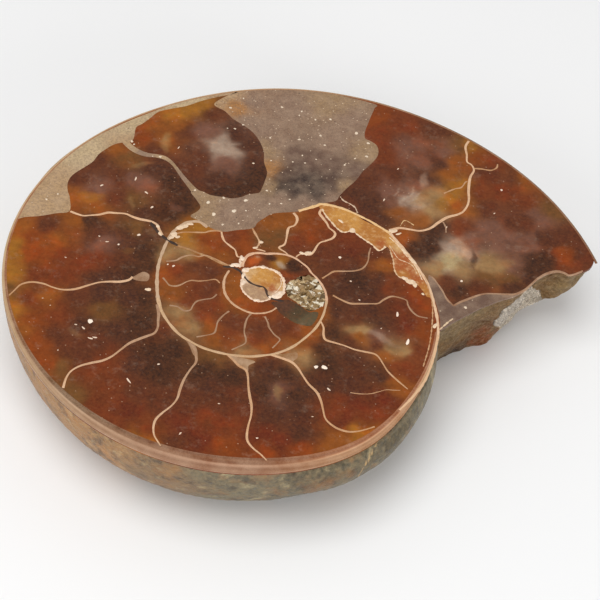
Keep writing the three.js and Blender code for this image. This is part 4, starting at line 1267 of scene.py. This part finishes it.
GOLD = {
    "comb": (202, 144, 66),
    "syrup": (180, 116, 46),
    "ember": (166, 86, 34),
    "wheat": (208, 164, 108),
    "ash": (174, 140, 108),
    "chalk": (230, 200, 170),
}
GOLD_TONES = [
    (1.4, 13.3, "syrup"), (2.6, 12.8, "comb"), (3.6, 12.5, "comb"), (3, 11.4, "syrup"),
    (4.6, 11.6, "comb"), (5.6, 11.4, "syrup"), (7, 11, "syrup"), (6.2, 10, "syrup"),
    (8.2, 10, "comb"), (7.6, 9.6, "ember"), (9.2, 9.2, "wheat"), (9, 8.2, "ember"),
    (10, 7.9, "ember"), (9.6, 6.6, "ember"), (10.6, 6.2, "ember"), (10, 5.6, "syrup"),
    (11.4, 5.4, "ember"), (11.6, 6.8, "wheat"), (12.4, 4, "syrup"), (12.9, 3.2, "syrup"),
]
gold_edge = np.vstack([evenly(GOLD_UPPER, 0.15), evenly(GOLD_LOWER, 0.15)])
points, faces = slab(gold_edge, THICKNESS + GOLD_RISE, SUNK, 0.16)
tints = washed(shifted(points, 0.7, 0.3), GOLD_TONES, GOLD, 0.7)
gold, tree, surface, tint, place = new_material("honey calcite")
fibres = grain(tree, place, 0.3, 5, 0.65, 0.3, 0.7)
colour = mixed(tree, ranged(tree, fibres, 0, 0.35), tint, (120, 66, 24))
sparks = grain(tree, place, 0.5, 4, 0.6, 0.5, 0.75)
colour = mixed(tree, ranged(tree, sparks, 0, 0.4), colour, (240, 204, 150))
tree.links.new(colour, surface.inputs["Base Color"])
tree.links.new(ranged(tree, fibres, 0.12, 0.3), surface.inputs["Roughness"])
bumped(tree, surface, fibres, 0.01)
golden = make_piece("golden_wall", points, faces, tints, gold)
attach(golden, "root")

# --- The cream crust ---------------------------------------------------------------------------
# Small cream crystals along the inner side of the golden wall, and in lumps and veins beside it
# and beside the walls of the whorls inside. They grew there and stand a little proud.
CRUST_LINES = [
    # width, tone, line
    (0.26, (236, 206, 168), [
        (0.9, 13.3), (1.2, 12.7), (1.7, 12), (2.3, 11.3), (2.6, 10.9), (3.3, 10.4), (3.8, 10.5),
        (4.3, 10.8), (4.8, 10.4), (5.6, 9.8), (6.5, 9.2), (7.3, 8.5), (7.9, 9.2),
    ]),
    (0.2, (222, 182, 138), [
        (8.4, 8.8), (8.85, 7.4), (9.05, 6.2), (9.5, 5.3), (10.2, 5.0), (11, 4.5),
    ]),
    (0.16, (240, 212, 176), [
        (8.2, 10.6), (9.2, 9.6), (10.0, 8.5), (10.9, 7.4), (11.5, 6.4), (12, 5.2),
    ]),
    (0.14, (226, 190, 150), [
        (8.3, 9.4), (8.9, 8.4), (9.4, 7.7), (10.2, 7.4), (10.9, 7.0), (11.4, 6.0),
    ]),
    (0.16, (200, 150, 100), [
        (12.2, 5.8), (12.9, 3.6), (13.3, 1.6), (13.4, -1.0), (13.3, -3.6), (12.9, -6.4),
    ]),
    (0.14, (214, 176, 120), [(10.6, 12.9), (9.6, 13.4), (9.2, 12.5)]),
    (0.2, (206, 178, 150), [(2.6, 15.5), (3.0, 15.0), (3.8, 14.6), (4.3, 14.2), (4.6, 13.5)]),
    (0.24, (222, 196, 160), [(14.2, -1.2), (14.6, -0.6), (15.0, 0.0), (15.4, 0.5)]),
]
CRUST_LUMPS = [
    # middle, radius, stretch, turn
    (4.3, 10.8, 0.3, 1.3, 0.2), (10.2, 5.1, 0.26, 1.2, 0.0), (10.8, 4.75, 0.36, 1.4, -0.4),
    (11.3, 4.4, 0.24, 1.5, -0.9), (10.9, 7.7, 0.2, 2.2, -0.9), (9.9, 8.9, 0.18, 2.6, -0.9),
    (3.0, 11.9, 0.16, 2.0, -0.6), (0.1, 6.6, 0.3, 1.3, 0.3), (-0.5, 6.5, 0.2, 1.4, 0.0),
    (8.5, 11.6, 0.28, 1.6, 0.5), (9.1, 11.3, 0.14, 2.2, 0.5), (12.2, 3.3, 0.14, 1.2, 0),
    (-13.2, 7.6, 0.34, 1.3, 0.7), (-12.7, 7.9, 0.24, 1.3, 0.3), (-13.7, 6.5, 0.3, 1.4, 0.9),
    (-13.3, 6.2, 0.2, 1.2, 0.2), (-13.9, 6.0, 0.2, 1.4, 0.9), (-12.3, 8.3, 0.2, 1.6, 0.2),
    (-15.1, 6.3, 0.2, 1.6, -1.0), (-15.5, 7.3, 0.16, 1.6, -0.9), (-15.1, -1.6, 0.24, 1.2, 0),
    (-4.8, 7.2, 0.18, 1.4, 0.8), (-5.3, 6.3, 0.16, 1.6, 0.2), (13.7, -0.8, 0.22, 1.5, 1.2),
]
CRUST_LUMP_TONE = (238, 212, 180)
CRUST_RISE = 0.03
CRUST_WIDTH = 0.7
LUMP_TOP = THICKNESS + 0.012
parts = []
for width, tone, line in CRUST_LINES:
    line = evenly(line, 0.1)
    along = np.arange(len(line))
    widths = CRUST_WIDTH * width * (1 + 0.6 * np.sin(along * 0.9) * np.sin(along * 0.37 + width * 50))
    points, faces = ribbon(line, widths, CRUST_RISE)
    parts.append((points, faces, tone))
for x, y, radius, stretch, turn in CRUST_LUMPS:
    points, faces = dome(x, y, radius, LUMP_TOP, 0.03, stretch, turn)
    parts.append((points, faces, CRUST_LUMP_TONE))
points, faces, tints = gathered(parts)
crust = make_piece("cream_crust", points, faces, tints, mineral)
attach(crust, "root")

# --- The first chamber -------------------------------------------------------------------------
# The oval in the middle of the coil: orange crystals above a crack and grey calcite below it.
# The healed crack that runs up to it from the left is filled with the same calcite.
OVAL = [
    (-6, 3.1), (-5.5, 3.2), (-5, 3.5), (-4.2, 3.75), (-3.6, 3.6), (-2.9, 3.5), (-2.4, 3.1), (-2, 2.5),
    (-1.8, 1.8), (-1.7, 1), (-1.8, 0.3), (-2, -0.1), (-2.8, -0.3), (-3.3, -0.7), (-3.9, -1),
    (-4.6, -0.9), (-5.2, -0.5), (-5.7, 0), (-6, 0.6), (-6.1, 1.3), (-5.9, 2), (-6.1, 2.6),
]
OVAL_TONES = [
    # orange over the crack, ash under it, chalk at the edges
    (-5.4, 2.8, "wheat"), (-4.2, 2.9, "comb"), (-4.8, 2, "comb"), (-3.4, 2.2, "comb"),
    (-2.6, 2.4, "syrup"), (-3.6, 1.3, "syrup"), (-2.9, 1, "ember"), (-2.2, 1.4, "wheat"),
    (-4.8, 0.6, "ash"), (-4.2, -0.2, "ash"), (-5.4, 0.6, "ash"), (-3.4, 0.2, "ash"),
    (-2.4, 0.2, "chalk"), (-5.9, 1.6, "chalk"),
]
HEALED_CRACK = [
    (-13.2, 5.0), (-12.0, 4.75), (-10.8, 4.35), (-9.8, 4.05), (-8.9, 3.6), (-8.2, 3.35), (-7.6, 3.3),
]
OVAL_RISE = 0.01
HEALED_TONE = (168, 122, 80)
parts = []
points, faces = slab(evenly(OVAL, 0.15, closed=True), THICKNESS + OVAL_RISE, SUNK, 0.1)
parts.append((points, faces, washed(shifted(points, 0.4, 0.2), OVAL_TONES, GOLD, 0.5)))
points, faces = ribbon(evenly(HEALED_CRACK, 0.08), 0.22, 0.008)
parts.append((points, faces, HEALED_TONE))
points, faces, tints = gathered(parts)
first = make_piece("first_chamber", points, faces, tints, gold)
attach(first, "root")

# --- The cracks --------------------------------------------------------------------------------
# Two open cracks: one through the first chamber, and one through the wall of the middle whorl at its
# left. They are laid on as low bars painted dark, the painted shade inside the slits that the real ones
# are.
CRACK = [
    (-8.2, 3.0), (-7.4, 3.1), (-6.8, 2.95), (-6.4, 2.7), (-5.95, 2.1), (-5.4, 1.5), (-4.9, 1.2),
    (-4.3, 1.05), (-3.8, 1.0), (-3.5, 0.6), (-3.35, 0.1), (-3.1, -0.2), (-2.5, -0.45), (-1.6, -0.5),
]
# painted shade: the dark inside the open slits
CRACK_SHADE_TONE = (30, 18, 12)
FINE_STEP = 0.07
OUTER_CRACK = [(-16.3, 7.7), (-15.7, 6.9), (-15.0, 6.2), (-14.3, 5.6), (-13.6, 5.25), (-13.1, 5.0)]
crack_shade, tree, surface, tint, place = new_material("crack")
depths = grain(tree, place, 0.3, 4)
tree.links.new(mixed(tree, ranged(tree, depths, 0, 0.6), tint, (88, 56, 34)), surface.inputs["Base Color"])
tree.links.new(ranged(tree, depths, 0.5, 0.8), surface.inputs["Roughness"])
parts = []
for line, width, rise in ((CRACK, 0.26, 0.03), (OUTER_CRACK, 0.32, 0.024)):
    line = evenly(line, FINE_STEP)
    widths = width * (0.75 + 0.45 * np.sin(np.arange(len(line)) * 0.21) ** 2)
    points, faces = ribbon(line, widths, rise)
    parts.append((points, faces, CRACK_SHADE_TONE))
points, faces, tints = gathered(parts)
cracks = make_piece("cracks", points, faces, tints, crack_shade)
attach(cracks, "root")

# --- The olive patch ---------------------------------------------------------------------------
# A patch of olive calcite under the open chamber, polished with the rest of the face.
OLIVE = [
    (-2.3, -1.5), (-1.7, -2.2), (-1.0, -2.7), (-0.3, -3.1), (0.5, -3.3), (1.4, -3.25), (1.85, -2.4),
    (2.0, -1.4), (1.6, -1.3), (1.0, -1.45), (0.1, -0.8), (-1.2, -0.2), (-2.0, -0.6), (-2.8, -0.9),
]
OLIVE_RISE = 0.008
OLIVE_TONES = [(-1.5, -1.2, "umber"), (0, -2, "moss"), (1.4, -2.4, "slate"), (0.6, -3, "slate")]
points, faces = slab(evenly(OLIVE, 0.15, closed=True), THICKNESS + OLIVE_RISE, SUNK, 0.15)
olive = make_piece("olive_patch", points, faces, washed(points, OLIVE_TONES, STONE, 0.8), calcite)
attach(olive, "root")

# --- The white crust ---------------------------------------------------------------------------
# A broken crust of white calcite round the first chamber, with lumps at its corners. It stands
# a few hundredths of a millimetre proud of the face.
WHITE_CRUST = [
    # width, line
    (0.26, [(-6.1, 2.6), (-6, 3.1), (-5.5, 3.25), (-5, 3.55), (-4.2, 3.8), (-3.6, 3.65), (-2.9, 3.5)]),
    (0.3, [(-2.9, 3.5), (-2.4, 3.1), (-2, 2.5), (-1.8, 1.8), (-1.75, 1), (-1.8, 0.4)]),
    (0.2, [
        (-6.1, 2.5), (-5.95, 2.0), (-6.1, 1.4), (-6, 0.6), (-5.7, 0), (-5.2, -0.5), (-4.6, -0.9),
        (-3.9, -1.0),
    ]),
    (0.18, [(-3.9, -1.0), (-3.3, -0.7), (-2.9, -0.3)]),
    (0.3, [(-6.4, 3.3), (-6.7, 3.5), (-7.2, 3.4), (-7.5, 3.2)]),
    (0.22, [(-6.5, 4.9), (-6.6, 4.3), (-6.5, 3.8), (-6.6, 3.4)]),
    (0.1, [(-2.3, 2.6), (-2.1, 1.8), (-2.3, 1.0), (-2.6, 0.4)]),
]
WHITE_LUMPS = [
    # middle, radius, stretch, turn
    (-2.3, 0.1, 0.4, 1.5, 0.9), (-2.0, 0.5, 0.26, 1.5, 1.3), (-5.9, 2.9, 0.28, 1.2, 0.4),
    (-6.0, 2.2, 0.22, 1.5, 1.5), (-5.9, 1.2, 0.24, 1.5, 1.5), (-6.9, 3.5, 0.3, 1.4, 0.1),
    (-4.2, 3.7, 0.18, 1.6, 0.1), (-4.3, -0.9, 0.2, 1.5, 0.2), (-7.3, 3.3, 0.2, 1.2, 0.2),
    (-6.4, 4.5, 0.22, 1.5, 1.4), (-3.0, -0.2, 0.16, 1.4, 0.3), (-2.8, 3.4, 0.16, 1.5, -0.6),
]
WHITE_TONE = (244, 214, 186)
WHITE_LUMP_TONE = (250, 228, 204)
WHITE_RISE = 0.03
parts = []
for width, line in WHITE_CRUST:
    line = evenly(line, FINE_STEP)
    along = np.arange(len(line))
    widths = width * (1 + 0.45 * np.sin(along * 0.8 + width * 30) * np.sin(along * 0.31))
    points, faces = ribbon(line, widths, WHITE_RISE)
    parts.append((points, faces, WHITE_TONE))
for x, y, radius, stretch, turn in WHITE_LUMPS:
    points, faces = dome(x, y, radius, THICKNESS + 0.015, 0.04, stretch, turn)
    parts.append((points, faces, WHITE_LUMP_TONE))
points, faces, tints = gathered(parts)
white = make_piece("white_crust", points, faces, tints, mineral)
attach(white, "root")

# --- Glints ------------------------------------------------------------------------------------
# Painted highlights: pale flecks where cleavage faces in the calcite and nicks in its polish catch
# the light, most of them less than half a millimetre long.
GLINTS = [
    # middle, radius, stretch, turn
    (-20.0, -6.9, 0.22, 1.5, -1.2), (3.4, 6.7, 0.13, 1.4, -1.2), (9.85, 0.0, 0.12, 2.8, 1.5),
    (11.15, -3.5, 0.16, 2.4, 1.5), (-15.1, -13.7, 0.1, 3.4, -0.9), (3.3, -8.4, 0.2, 1.8, -0.2),
    (2.5, -8.5, 0.16, 1.6, 0.6), (-19.0, 3.95, 0.11, 1.1, 0), (-20.2, 4.1, 0.08, 2.2, 0.4),
    (4.8, 3.6, 0.1, 1.0, 0), (-13.1, 2.1, 0.12, 1.2, 1.2), (-13.7, 2.2, 0.09, 1.2, 0),
    (4.0, -11.1, 0.1, 2.2, -0.6), (-9.3, -19.2, 0.07, 3.0, 1.2), (-17.2, 5.7, 0.12, 1.8, 0.3),
    (-21.1, 4.7, 0.08, 1.4, 0), (-24.2, -5.6, 0.06, 1, 0), (-25.1, -4.8, 0.06, 1.2, 0),
    (19.5, 20.1, 0.12, 1.2, 0), (16.0, 5.9, 0.12, 1.3, 0.3), (-18.8, 13.7, 0.09, 3.2, 1.4),
    (-17.4, 11.9, 0.09, 2.8, -0.5), (-16.5, 9.9, 0.1, 2.2, 1.2), (-22.1, 12.0, 0.1, 1.8, 0.9),
    (7.2, 16.0, 0.08, 2.6, 1.2), (5.9, 1.2, 0.08, 1.4, 0), (-15.1, 19.3, 0.07, 2.6, 1.2),
    (8.3, 21.0, 0.07, 2.0, 1.2), (18.9, 16.4, 0.07, 1.6, 0.6), (14.0, 13.3, 0.06, 3.0, 1.5),
    (-23.9, 1.1, 0.07, 1.4, 0), (-19.2, -8.9, 0.08, 3.4, 0.1), (-12.6, -11.1, 0.09, 1.6, 0.2),
    (8.4, -2.2, 0.06, 1.6, 1.0), (-6.2, -14.9, 0.07, 1.6, 0), (2.8, -14.8, 0.06, 1.6, 0),
    (-2.1, -18.4, 0.08, 1.8, 0.5), (-22.4, -11.2, 0.06, 1.4, 0.9), (-20.5, -7.9, 0.1, 2.0, -0.8),
    (-21.3, -7.6, 0.08, 1.6, 0), (-19.6, -9.1, 0.1, 2.4, -0.2),
]
# painted highlight tones, the larger flecks brighter
GLINT_SMALL = np.array((206, 170, 140.0))
GLINT_LARGE = np.array((246, 228, 208.0))
glinting, tree, surface, tint, place = new_material("glint")
tree.links.new(tint, surface.inputs["Base Color"])
tree.links.new(grain(tree, place, 0.2), surface.inputs["Roughness"])
parts = []
for x, y, radius, stretch, turn in GLINTS:
    points, faces = dome(x, y, radius, THICKNESS + 0.003, 0.008, stretch, turn)
    parts.append((points, faces, blend(GLINT_SMALL, GLINT_LARGE, min(1, radius * 6))))
points, faces, tints = gathered(parts)
glints = make_piece("glints", points, faces, tints, glinting)
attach(glints, "root")

# --- The crystals in the open chamber ----------------------------------------------------------
# The chamber beside the first one was never filled: its walls carry a crust of small bright
# crystals, olive and brassy, packed up to the level of the face; the near-white ones are painted
# highlights.
DRUSE_COUNT = 340
BED_DEPTH = 0.9
BED_THICKNESS = 0.68
BED_TONE = (110, 88, 56)
# the near-white tone among these is a painted highlight on sparkling crystal faces
DRUSE_TONES = [
    (170, 138, 94), (136, 108, 70), (196, 170, 128), (96, 74, 46), (232, 220, 196), (150, 120, 78),
    (120, 94, 58), (160, 132, 96),
]
CRYSTAL_FACES = np.array([
    (0, 1, 4), (1, 2, 4), (2, 3, 4), (3, 0, 4), (1, 0, 5), (2, 1, 5), (3, 2, 5), (0, 3, 5),
])
CRYSTAL_SHAPE = np.array([
    (0.5, 0.5, 0), (-0.5, 0.5, 0), (-0.5, -0.5, 0), (0.5, -0.5, 0), (0, 0, 0.75), (0, 0, -0.75),
])


def turned(dice):
    """A random turn in space."""
    q = dice.normal(size=4)
    return np.array(Quaternion(q).normalized().to_matrix())


dice = np.random.default_rng(5)
loop = counterclockwise(evenly(HOLLOW, 0.3, closed=True))
inner = loop.mean(axis=0) + (loop - loop.mean(axis=0)) * 0.93
parts = []
while len(parts) < DRUSE_COUNT:
    at = dice.uniform(inner.min(axis=0), inner.max(axis=0))
    if not inside(at[None], inner)[0]:
        continue
    edge = np.hypot(*(loop - at).T).min()
    depth = min(0.75, 0.1 + 0.4 * edge) * dice.uniform(0.6, 1.2)
    size = dice.uniform(0.3, 0.75)
    points = CRYSTAL_SHAPE @ turned(dice).T * size + (*at, THICKNESS - depth)
    points[:, 2] = np.minimum(points[:, 2], THICKNESS + 0.005)
    parts.append((points, CRYSTAL_FACES, DRUSE_TONES[dice.integers(len(DRUSE_TONES))]))
bed_edge = evenly(HOLLOW, 0.2, closed=True) * 0.98 + loop.mean(axis=0) * 0.02
points, faces = slab(bed_edge, THICKNESS - BED_DEPTH, BED_THICKNESS, 0.2)
parts.append((points, faces, BED_TONE))

druse, tree, surface, tint, place = new_material("druse crystal")
flecks = grain(tree, place, 0.18, 4)
colour = mixed(tree, ranged(tree, flecks, 0, 0.4), tint, (96, 76, 46))
tree.links.new(colour, surface.inputs["Base Color"])
tree.links.new(ranged(tree, flecks, 0.08, 0.35), surface.inputs["Roughness"])
points, faces, tints = gathered(parts)
crystals = make_piece("druse_crystals", points, faces, tints, druse, crease=5)
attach(crystals, "root")
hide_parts("cavity_druse")

# --- The sugary pocket -------------------------------------------------------------------------
# A pocket of white calcite in the broken end, all small grains that glitter like sugar. It fills
# a hollow in the stone, with a small gap all round.
SUGAR_GRAINS = 1500
CORE_TONE = (150, 136, 120)
SUGAR_TONE = np.array((206, 196, 182.0))
BRIGHTEST = 250


def settled(tris, spots):
    """Triangles sorted by place, each begun at its lowest corner, with normals and areas.

    A cut may give its triangles in any order, and the grains have to fall the same way each time.
    """
    rows = []
    for tri in tris.tolist():
        lowest = min(range(3), key=lambda k: tuple(spots[tri[k]]))
        rows.append(tri[lowest:] + tri[:lowest])
    rows.sort(key=lambda tri: [tuple(spots[corner]) for corner in tri])
    tris = np.array(rows)
    a, b, c = spots[tris].transpose(1, 0, 2)
    across = np.cross(b - a, c - a)
    double = np.maximum(np.linalg.norm(across, axis=1), 1e-12)
    return tris, across / double[:, None], double / 2


sugar, tree, surface, tint, place = new_material("sugary calcite")
flecks = grain(tree, place, 0.2, 4)
colour = mixed(tree, ranged(tree, flecks, 0, 0.5), tint, (132, 112, 92))
tree.links.new(colour, surface.inputs["Base Color"])
tree.links.new(ranged(tree, flecks, 0.2, 0.6), surface.inputs["Roughness"])
filling = pocket(0.3, sugar)
change = filling.modifiers.new("within the stone", "BOOLEAN")
change.operation = "INTERSECT"
change.solver = "MANIFOLD"
change.object = whole
bpy.context.view_layer.update()
found = bpy.data.meshes.new_from_object(filling.evaluated_get(bpy.context.evaluated_depsgraph_get()))
core = np.array([v.co for v in found.vertices]) * 1000 - MIDDLE
found.calc_loop_triangles()
tris, normals, areas = settled(np.array([t.vertices for t in found.loop_triangles]), core)
facing_out = normals @ np.array([-BREAK_INWARD[0], -BREAK_INWARD[1], -0.2]) > 0.55
chance = areas * facing_out
chance /= chance.sum()
parts = [(core, tris, CORE_TONE)]
for number in dice.choice(len(tris), SUGAR_GRAINS, p=chance):
    a, b = dice.uniform(size=2)
    if a + b > 1:
        a, b = 1 - a, 1 - b
    corner = core[tris[number]]
    at = corner[0] + a * (corner[1] - corner[0]) + b * (corner[2] - corner[0])
    size = dice.uniform(0.14, 0.36)
    points = CRYSTAL_SHAPE @ turned(dice).T * size + at - normals[number] * size * 0.15
    tone = SUGAR_TONE * dice.uniform(0.72, 1.12)
    parts.append((points, CRYSTAL_FACES, np.clip(tone, 0, BRIGHTEST)))
for old in (filling, whole):
    bpy.data.objects.remove(old)
points, faces, tints = gathered(parts)
sugary = make_piece("sugary_crystals", points, faces, tints, sugar, crease=5)
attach(sugary, "root")
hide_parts("break_crystals")

# --- The sugar crust on the break --------------------------------------------------------------
# The same calcite, spread thinly over the broken wall around its pocket and down to its foot,
# with a pale seam along its left side.
CRUST_AREA = [
    # along the break and up it
    (22.6, 9.6), (23.8, 7.6), (25.2, 4.6), (26.6, 1.6), (26.0, 0.2), (24.4, 0.2), (22.4, 0.4),
    (21.2, 1.4), (20.9, 3.2), (21.2, 5.8), (21.8, 8.2),
]
CRUST_GRAINS = 3200
CRUST_FROM = 19  # nothing of it lies left of here
PALE_SEAM = [(21.9, 8.6), (21.4, 6.6), (21.0, 4.4), (20.9, 2.8), (21.2, 1.4), (22.0, 0.6)]
SEAM_REACH = 0.16
SEAM_TONE = np.array((232, 204, 168.0))
SPREAD_TONE = np.array((204, 192, 174.0))
pale_seam = evenly(PALE_SEAM, 0.2)
mesh = body.data
mesh.calc_loop_triangles()
spots = np.array([v.co for v in mesh.vertices]) * 1000 - MIDDLE
broken_at = [m == broken for m in mesh.materials]
wall = [t for t in mesh.loop_triangles if broken_at[t.material_index] and t.normal[1] < -0.2]
tris, normals, areas = settled(np.array([t.vertices for t in wall]), spots)
over_area = spots[tris].mean(axis=1)[:, 0] > CRUST_FROM
chance = areas * over_area / (areas * over_area).sum()
parts = []
for number in dice.choice(len(tris), CRUST_GRAINS * 3, p=chance):
    a, b = dice.uniform(size=2)
    if a + b > 1:
        a, b = 1 - a, 1 - b
    corner = spots[tris[number]]
    at = corner[0] + a * (corner[1] - corner[0]) + b * (corner[2] - corner[0])
    push = np.array([hash_noise(at[None], 0.8)[0], hash_noise(at[None], 0.8, 9)[0]])
    if not inside((at[[0, 2]] + 0.25 * push)[None], np.array(CRUST_AREA))[0]:
        continue
    on_seam = min(math.hypot(x - at[0], z - at[2]) for x, z in pale_seam) < SEAM_REACH
    size = dice.uniform(0.16, 0.4)
    points = CRYSTAL_SHAPE @ turned(dice).T * size + at - normals[number] * size * 0.2
    points[:, 2] = np.maximum(points[:, 2], 0.02)
    tone = SEAM_TONE if on_seam else SPREAD_TONE * dice.uniform(0.7, 1.14)
    parts.append((points, CRYSTAL_FACES, np.clip(tone, 0, BRIGHTEST)))
points, faces, tints = gathered(parts)
spread = make_piece("sugar_crust", points, faces, tints, sugar, crease=5)
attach(spread, "root")

# --- Floor, light and camera -------------------------------------------------------------------
# A plain pale floor, an even white room and three soft lamps. The camera looks down on the face
# from the near side, a little tilted.
FLOOR_SIZE = 3.0
bpy.ops.mesh.primitive_plane_add(size=FLOOR_SIZE, location=(0, 0, 0))
floor = bpy.context.object
floor.name = "floor"
paint = bpy.data.materials.new("floor white")
paint.use_nodes = True
coat = paint.node_tree.nodes["Principled BSDF"]
coat.inputs["Base Color"].default_value = (0.86, 0.86, 0.86, 1)
coat.inputs["Roughness"].default_value = 0.7
floor.data.materials.append(paint)

world = bpy.data.worlds.new("studio")
world.use_nodes = True
sky = world.node_tree.nodes["Background"]
sky.inputs["Color"].default_value = (1.0, 1.0, 1.0, 1)
sky.inputs["Strength"].default_value = 0.46
bpy.context.scene.world = world


def softbox(name, size, power, at, glare=True):
    """A round soft lamp aimed at the middle; without glare it does not show in the polish."""
    lamp = bpy.data.lights.new(name, "AREA")
    lamp.shape = "DISK"
    lamp.size = size
    lamp.energy = power
    made = bpy.data.objects.new(name, lamp)
    made.location = at
    made.rotation_euler = (-Vector(at)).to_track_quat("-Z", "Y").to_euler()
    made.visible_glossy = glare
    bpy.context.scene.collection.objects.link(made)


softbox("overhead", 0.5, 2.3, (-0.12, -0.16, 0.6))
softbox("near side", 0.3, 0.8, (-0.3, -0.45, 0.3), glare=False)
softbox("right side", 0.25, 1.0, (0.35, -0.42, 0.16), glare=False)

ELEVATION = math.radians(47)
ROLL = math.radians(8.4)
DISTANCE = 216.2
FOCAL_LENGTH = 129.7
right = Vector((1, 0, 0))
up = Vector((0, math.sin(ELEVATION), math.cos(ELEVATION)))
ahead = Vector((0, math.cos(ELEVATION), -math.sin(ELEVATION)))
target = Vector((MIDDLE[0], MIDDLE[1], THICKNESS)) / 1000
picture_right = math.cos(ROLL) * right + math.sin(ROLL) * up
picture_up = -math.sin(ROLL) * right + math.cos(ROLL) * up
lens = bpy.data.cameras.new("camera")
lens.lens = FOCAL_LENGTH
lens.clip_start = 0.01
camera = bpy.data.objects.new("camera", lens)
camera.matrix_world = Matrix.Translation(target - ahead * DISTANCE / 1000) @ Matrix(
    (picture_right, picture_up, -ahead)
).transposed().to_4x4()
bpy.context.scene.collection.objects.link(camera)
bpy.context.scene.camera = camera
bpy.context.scene.view_settings.view_transform = "Standard"
